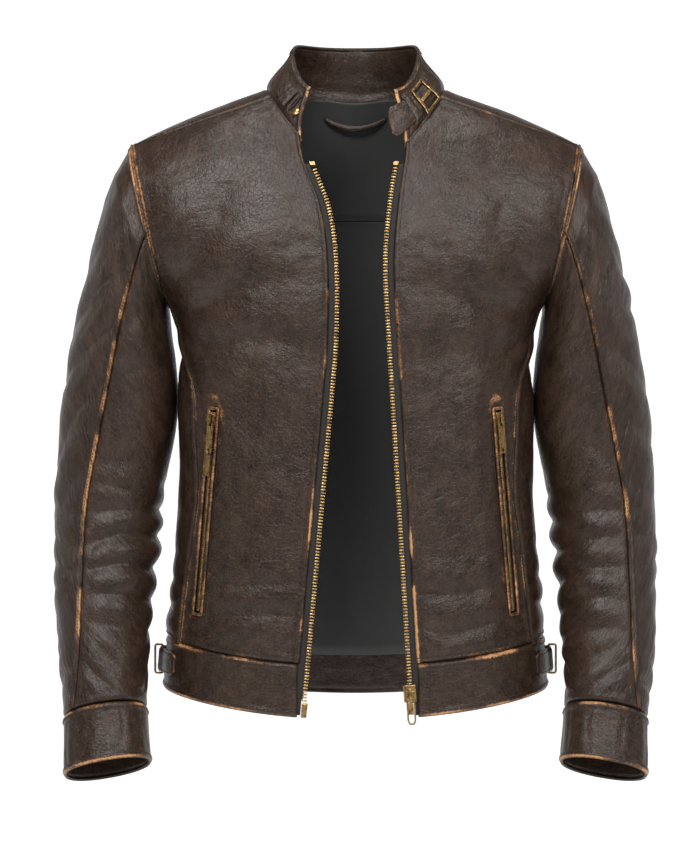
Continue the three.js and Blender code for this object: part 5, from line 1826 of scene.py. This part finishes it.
@dataclass
class Pocket:
    """One slanting welt pocket with its zip, slider and pull."""

    shop: Workshop
    side: int

    def __post_init__(self) -> None:
        """The pocket's middle, its length and its own directions."""
        self.name = side_name(self.side)
        low, high = (np.array(v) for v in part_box(self.name + "_pocket_welt"))
        joints = {j["name"]: j for j in frame["joints"]}
        self.up = -unit(np.array(joints[self.name + "_pocket_slide"]["axis"], float))
        self.across = unit(np.array(joints[self.name + "_pocket_pull_hinge"]["axis"], float))
        out = np.cross(self.up, self.across)
        self.out = out * (1 if out[1] < 0 else -1)
        self.centre = (low + high) / 2 + self.out * 0.9 * MM
        top, foot = FORM.pocket_ends(self.side)
        self.half = float(np.linalg.norm(top - foot)) / 2

    def at(self, x: Array, z: Array, away: float) -> Array:
        """Points at x across the pocket, z up it and a distance out from its middle."""
        x, z = np.broadcast_arrays(np.asarray(x, float), np.asarray(z, float))
        return self.centre + self.out * away + x[..., None] * self.across + z[..., None] * self.up

    def build(self) -> None:
        """Makes every piece of the pocket."""
        self.welt()
        self.tape()
        self.teeth()
        self.bag()
        body = self.name + "_pocket_"
        self.shop.metal(body + "slider", body + "slider_body", body + "zip_slider", 0.35 * MM)
        self.shop.metal(body + "pull", body + "pull_body", body + "tab", 0.3 * MM)
        if self.side < 0:
            self.shop.metal("right_pocket_leaf", "right_pocket_leaf_body", "right_pocket_second_leaf", 0.25 * MM)

    def welt(self) -> None:
        """The two leather welts, joined round the ends of the slot, with rounded lips."""
        tall, wide, corner = self.half + 3.0 * MM, 5.85 * MM, 1.6 * MM
        turn = np.linspace(0, math.pi / 2, 5)[1:-1]
        straight = np.linspace(-(tall - corner), tall - corner, 110)
        over, along = wide - corner, tall - corner
        cos, sin = corner * np.cos(turn), corner * np.sin(turn)
        side = np.full(110, wide)
        x = np.concatenate([side, over + cos, -over - sin, -side, -over - cos, over + sin])
        z = np.concatenate([straight, along + sin, along + cos, straight[::-1], -along - sin, -along - cos])
        path = self.at(x, z, 0)
        step = unit(np.roll(path, -1, 0) - np.roll(path, 1, 0))
        inwards = unit(np.cross(self.out, step))
        toward = self.at(0 * z, np.clip(z, -self.half, self.half), 0) - path
        inwards = inwards * np.sign((inwards * toward).sum(-1, keepdims=True))
        wobble = Noise(301).rough(path, 0.02)
        path = path + self.out * ((wobble - 0.5) * 0.5 * MM)[:, None]
        mesh = WELT.round(path, self.out, inwards)
        mesh.wear = ((0.35 + 0.9 * wobble)[:, None] * np.array(WELT_RUB)[None]).ravel()
        self.shop.add(
            self.name + "_pocket_welt_leather", mesh, self.shop.finishes.cuff_hide, Slot.WORN,
            nodes=(self.name + "_pocket_welt",),
        )
        rows = []
        for off in (9.3 * MM, -9.3 * MM):
            line = self.at(off, np.linspace(-self.half, self.half, 80), 0)
            rows.append(THREAD.along(FORM.onto(line, line * [0.35, 0, 1]) + self.out * 0.15 * MM, self.out))
        self.shop.add(self.name + "_pocket_stitching", stacked(rows), self.shop.finishes.thread, Slot.WORN)

    def tape(self) -> None:
        """The tape behind the teeth."""
        end = self.half + 0.9 * MM
        grid = self.at(np.linspace(-6.4 * MM, 6.4 * MM, 9)[None], np.linspace(-end, end, 90)[:, None], -2.8 * MM)
        mesh = sheet_mesh(grid, np.broadcast_to(self.out, grid.shape), 0.7 * MM, np.zeros(grid.shape[:2]))
        self.shop.add(
            self.name + "_pocket_tape_cloth", mesh, self.shop.finishes.tape, Slot.TAPE,
            nodes=(self.name + "_pocket_tape",), cut=Cut.of(grid),
        )

    def teeth(self) -> None:
        """The closed teeth, the two rows meshed by turns."""
        end = self.half - 1.2 * MM
        z = np.arange(-end, end, 1.15 * MM)
        turns = np.where(np.arange(len(z)) % 2 == 0, 1, -1)
        middle = self.at(turns * 0.65 * MM, z, -1.35 * MM)
        block = Tooth(3.1 * MM, 1.0 * MM, 1.9 * MM).rows(middle, self.across, self.up, self.out)
        self.shop.add(
            self.name + "_pocket_teeth", block, self.shop.finishes.brass, Slot.BRASS,
            nodes=(self.name + "_pocket_chain",),
        )

    def bag(self) -> None:
        """The pocket's flat bag, between the leather and the lining."""
        z = np.linspace(-0.537, -0.316, 60)[:, None]
        t = (z + 0.523) / 0.203
        outer = 0.161 - 0.017 * t - 9 * MM
        inner = np.abs(FORM.edge(self.side, z)) + 32 * MM
        x = self.side * (inner + (outer - inner) * np.linspace(0, 1, 24)[None])
        grid, slope = FORM.under(x, z + 0 * x, 3.1 * MM)
        mesh = sheet_mesh(grid, slope, 0.8 * MM, np.zeros(grid.shape[:2]))
        self.shop.add(
            self.name + "_pocket_bag_cloth", mesh, self.shop.finishes.lining, Slot.LINING,
            nodes=(self.name + "_pocket_bag",), cut=Cut.of(grid),
        )


@dataclass
class Adjuster:
    """The strap and ring on one side of the hem band."""

    shop: Workshop
    side: int

    def build(self) -> None:
        """Makes the strap and the ring."""
        name = side_name(self.side)
        y = np.linspace(-0.058, 0.058, 110)[None]
        v = np.linspace(-1, 1, 24)[:, None]
        end = np.sqrt(np.clip(1 - np.clip((np.abs(y) - 0.050) / 0.009, 0, 1) ** 2 * 0.8, 0, 1))
        z = -0.579 + 12.5 * MM * v * end
        depth = FORM.depth(y + 0 * z, z)
        x = FORM.half_width(z) * (1 - (np.abs(y) / depth) ** FORM.fullness) ** (1 / FORM.fullness)
        flat = np.stack([self.side * x, y + 0 * z, z], -1)
        rise = 2.6 * MM + 5.2 * MM * np.exp(-((y / 0.012) ** 4)) + 0 * z
        slope = unit(flat - FORM.inset(flat, 1 * MM))
        grid = flat + slope * rise[..., None]
        rim = SeamStyle(stitch=3.2 * MM, wear=0.7, reach=1.7 * MM, roll=0.3)
        panel = Panel(
            name + "_adjuster_leather", grid, 0.4 * MM * (Noise(401).rough(grid, 0.02) - 0.5),
            {"low": rim, "high": rim, "first": replace(rim, rows=0), "last": replace(rim, rows=0)},
            (name + "_adjuster_strap",), thick=1.7 * MM, seed=18,
        )
        self.shop.panel(panel)
        self.shop.add(
            name + "_adjuster_stitching", stacked(panel.stitches()), self.shop.finishes.thread, Slot.LEATHER
        )
        self.shop.metal(name + "_adjuster_ring", name + "_adjuster_ring_body", name + "_adjuster_loop", 0.5 * MM)


@dataclass
class Studio:
    """The pale ground, the lights and the camera."""

    distance: float = 2.3
    level: float = -0.334
    middle: float = -0.0058

    def build(self) -> None:
        """Sets the jacket in a bright, soft room."""
        self.ground()
        self.light("key", (-0.6, -1.9, 1.15), 1.0, 52)
        self.light("fill", (1.1, -1.9, 0.75), 0.8, 30)
        self.light("overhead", (0.0, -0.3, 1.7), 0.8, 24)
        self.light("rim_left", (-1.7, 0.2, 0.0), 0.5, 3)
        self.light("rim_right", (1.7, 0.2, 0.0), 0.5, 3)
        world = bpy.data.worlds.new("room")
        world.use_nodes = True
        world.node_tree.nodes["Background"].inputs["Color"].default_value = (1, 1, 1, 1)
        world.node_tree.nodes["Background"].inputs["Strength"].default_value = 0.12
        bpy.context.scene.world = world
        bpy.context.scene.view_settings.view_transform = "Standard"
        self.camera()

    def ground(self) -> None:
        """A floor that curves up into a wall, as one sheet."""
        run = np.linspace(0, 1, 60)
        y = np.where(run < 0.6, -8 + run / 0.6 * 15, 7 + 3 * np.sin((run - 0.6) / 0.4 * math.pi / 2))
        z = np.where(run < 0.6, -1.6, -1.6 + 8 * (1 - np.cos((run - 0.6) / 0.4 * math.pi / 2)))
        x = np.linspace(-9, 9, 12)[None]
        grid = np.stack(np.broadcast_arrays(x, y[:, None], z[:, None]), -1)
        mesh = sheet_mesh(grid, grid_normals(grid), 0.01, np.zeros(grid.shape[:2]))
        made = mesh.build("ground", Plain().build())

    def light(self, name: str, place: tuple[float, float, float], size: float, power: float) -> None:
        """A square soft light, turned to the jacket's middle."""
        data = bpy.data.lights.new(name, "AREA")
        data.energy, data.size = power, size
        made = bpy.data.objects.new(name, data)
        made.location = place
        made.rotation_euler = (Vector((0, 0, self.level)) - Vector(place)).to_track_quat("-Z", "Y").to_euler()
        bpy.context.scene.collection.objects.link(made)

    def camera(self) -> None:
        """A level camera in front of the chest."""
        data = bpy.data.cameras.new("view")
        data.lens = 92.8
        made = bpy.data.objects.new("view", data)
        made.location = (self.middle, -self.distance, self.level)
        made.rotation_euler = (math.pi / 2, 0, 0)
        bpy.context.scene.collection.objects.link(made)
        bpy.context.scene.camera = made


def main() -> None:
    """Builds the jacket, piece by piece, and the room round it."""
    shop = Workshop(Finishes())
    assemblies: list[Torso | Sleeve | Collar | MainZip | Pocket | Adjuster]
    assemblies = [Torso(shop), Collar(shop), MainZip(shop)]
    for side in (1, -1):
        assemblies += [Sleeve(shop, side), Pocket(shop, side), Adjuster(shop, side)]
    for assembly in assemblies:
        log.info("building %s", type(assembly).__name__)
        assembly.build()
    Studio().build()
    log.info("%d pieces", shop.pieces)


if __name__ == "__main__":
    main()
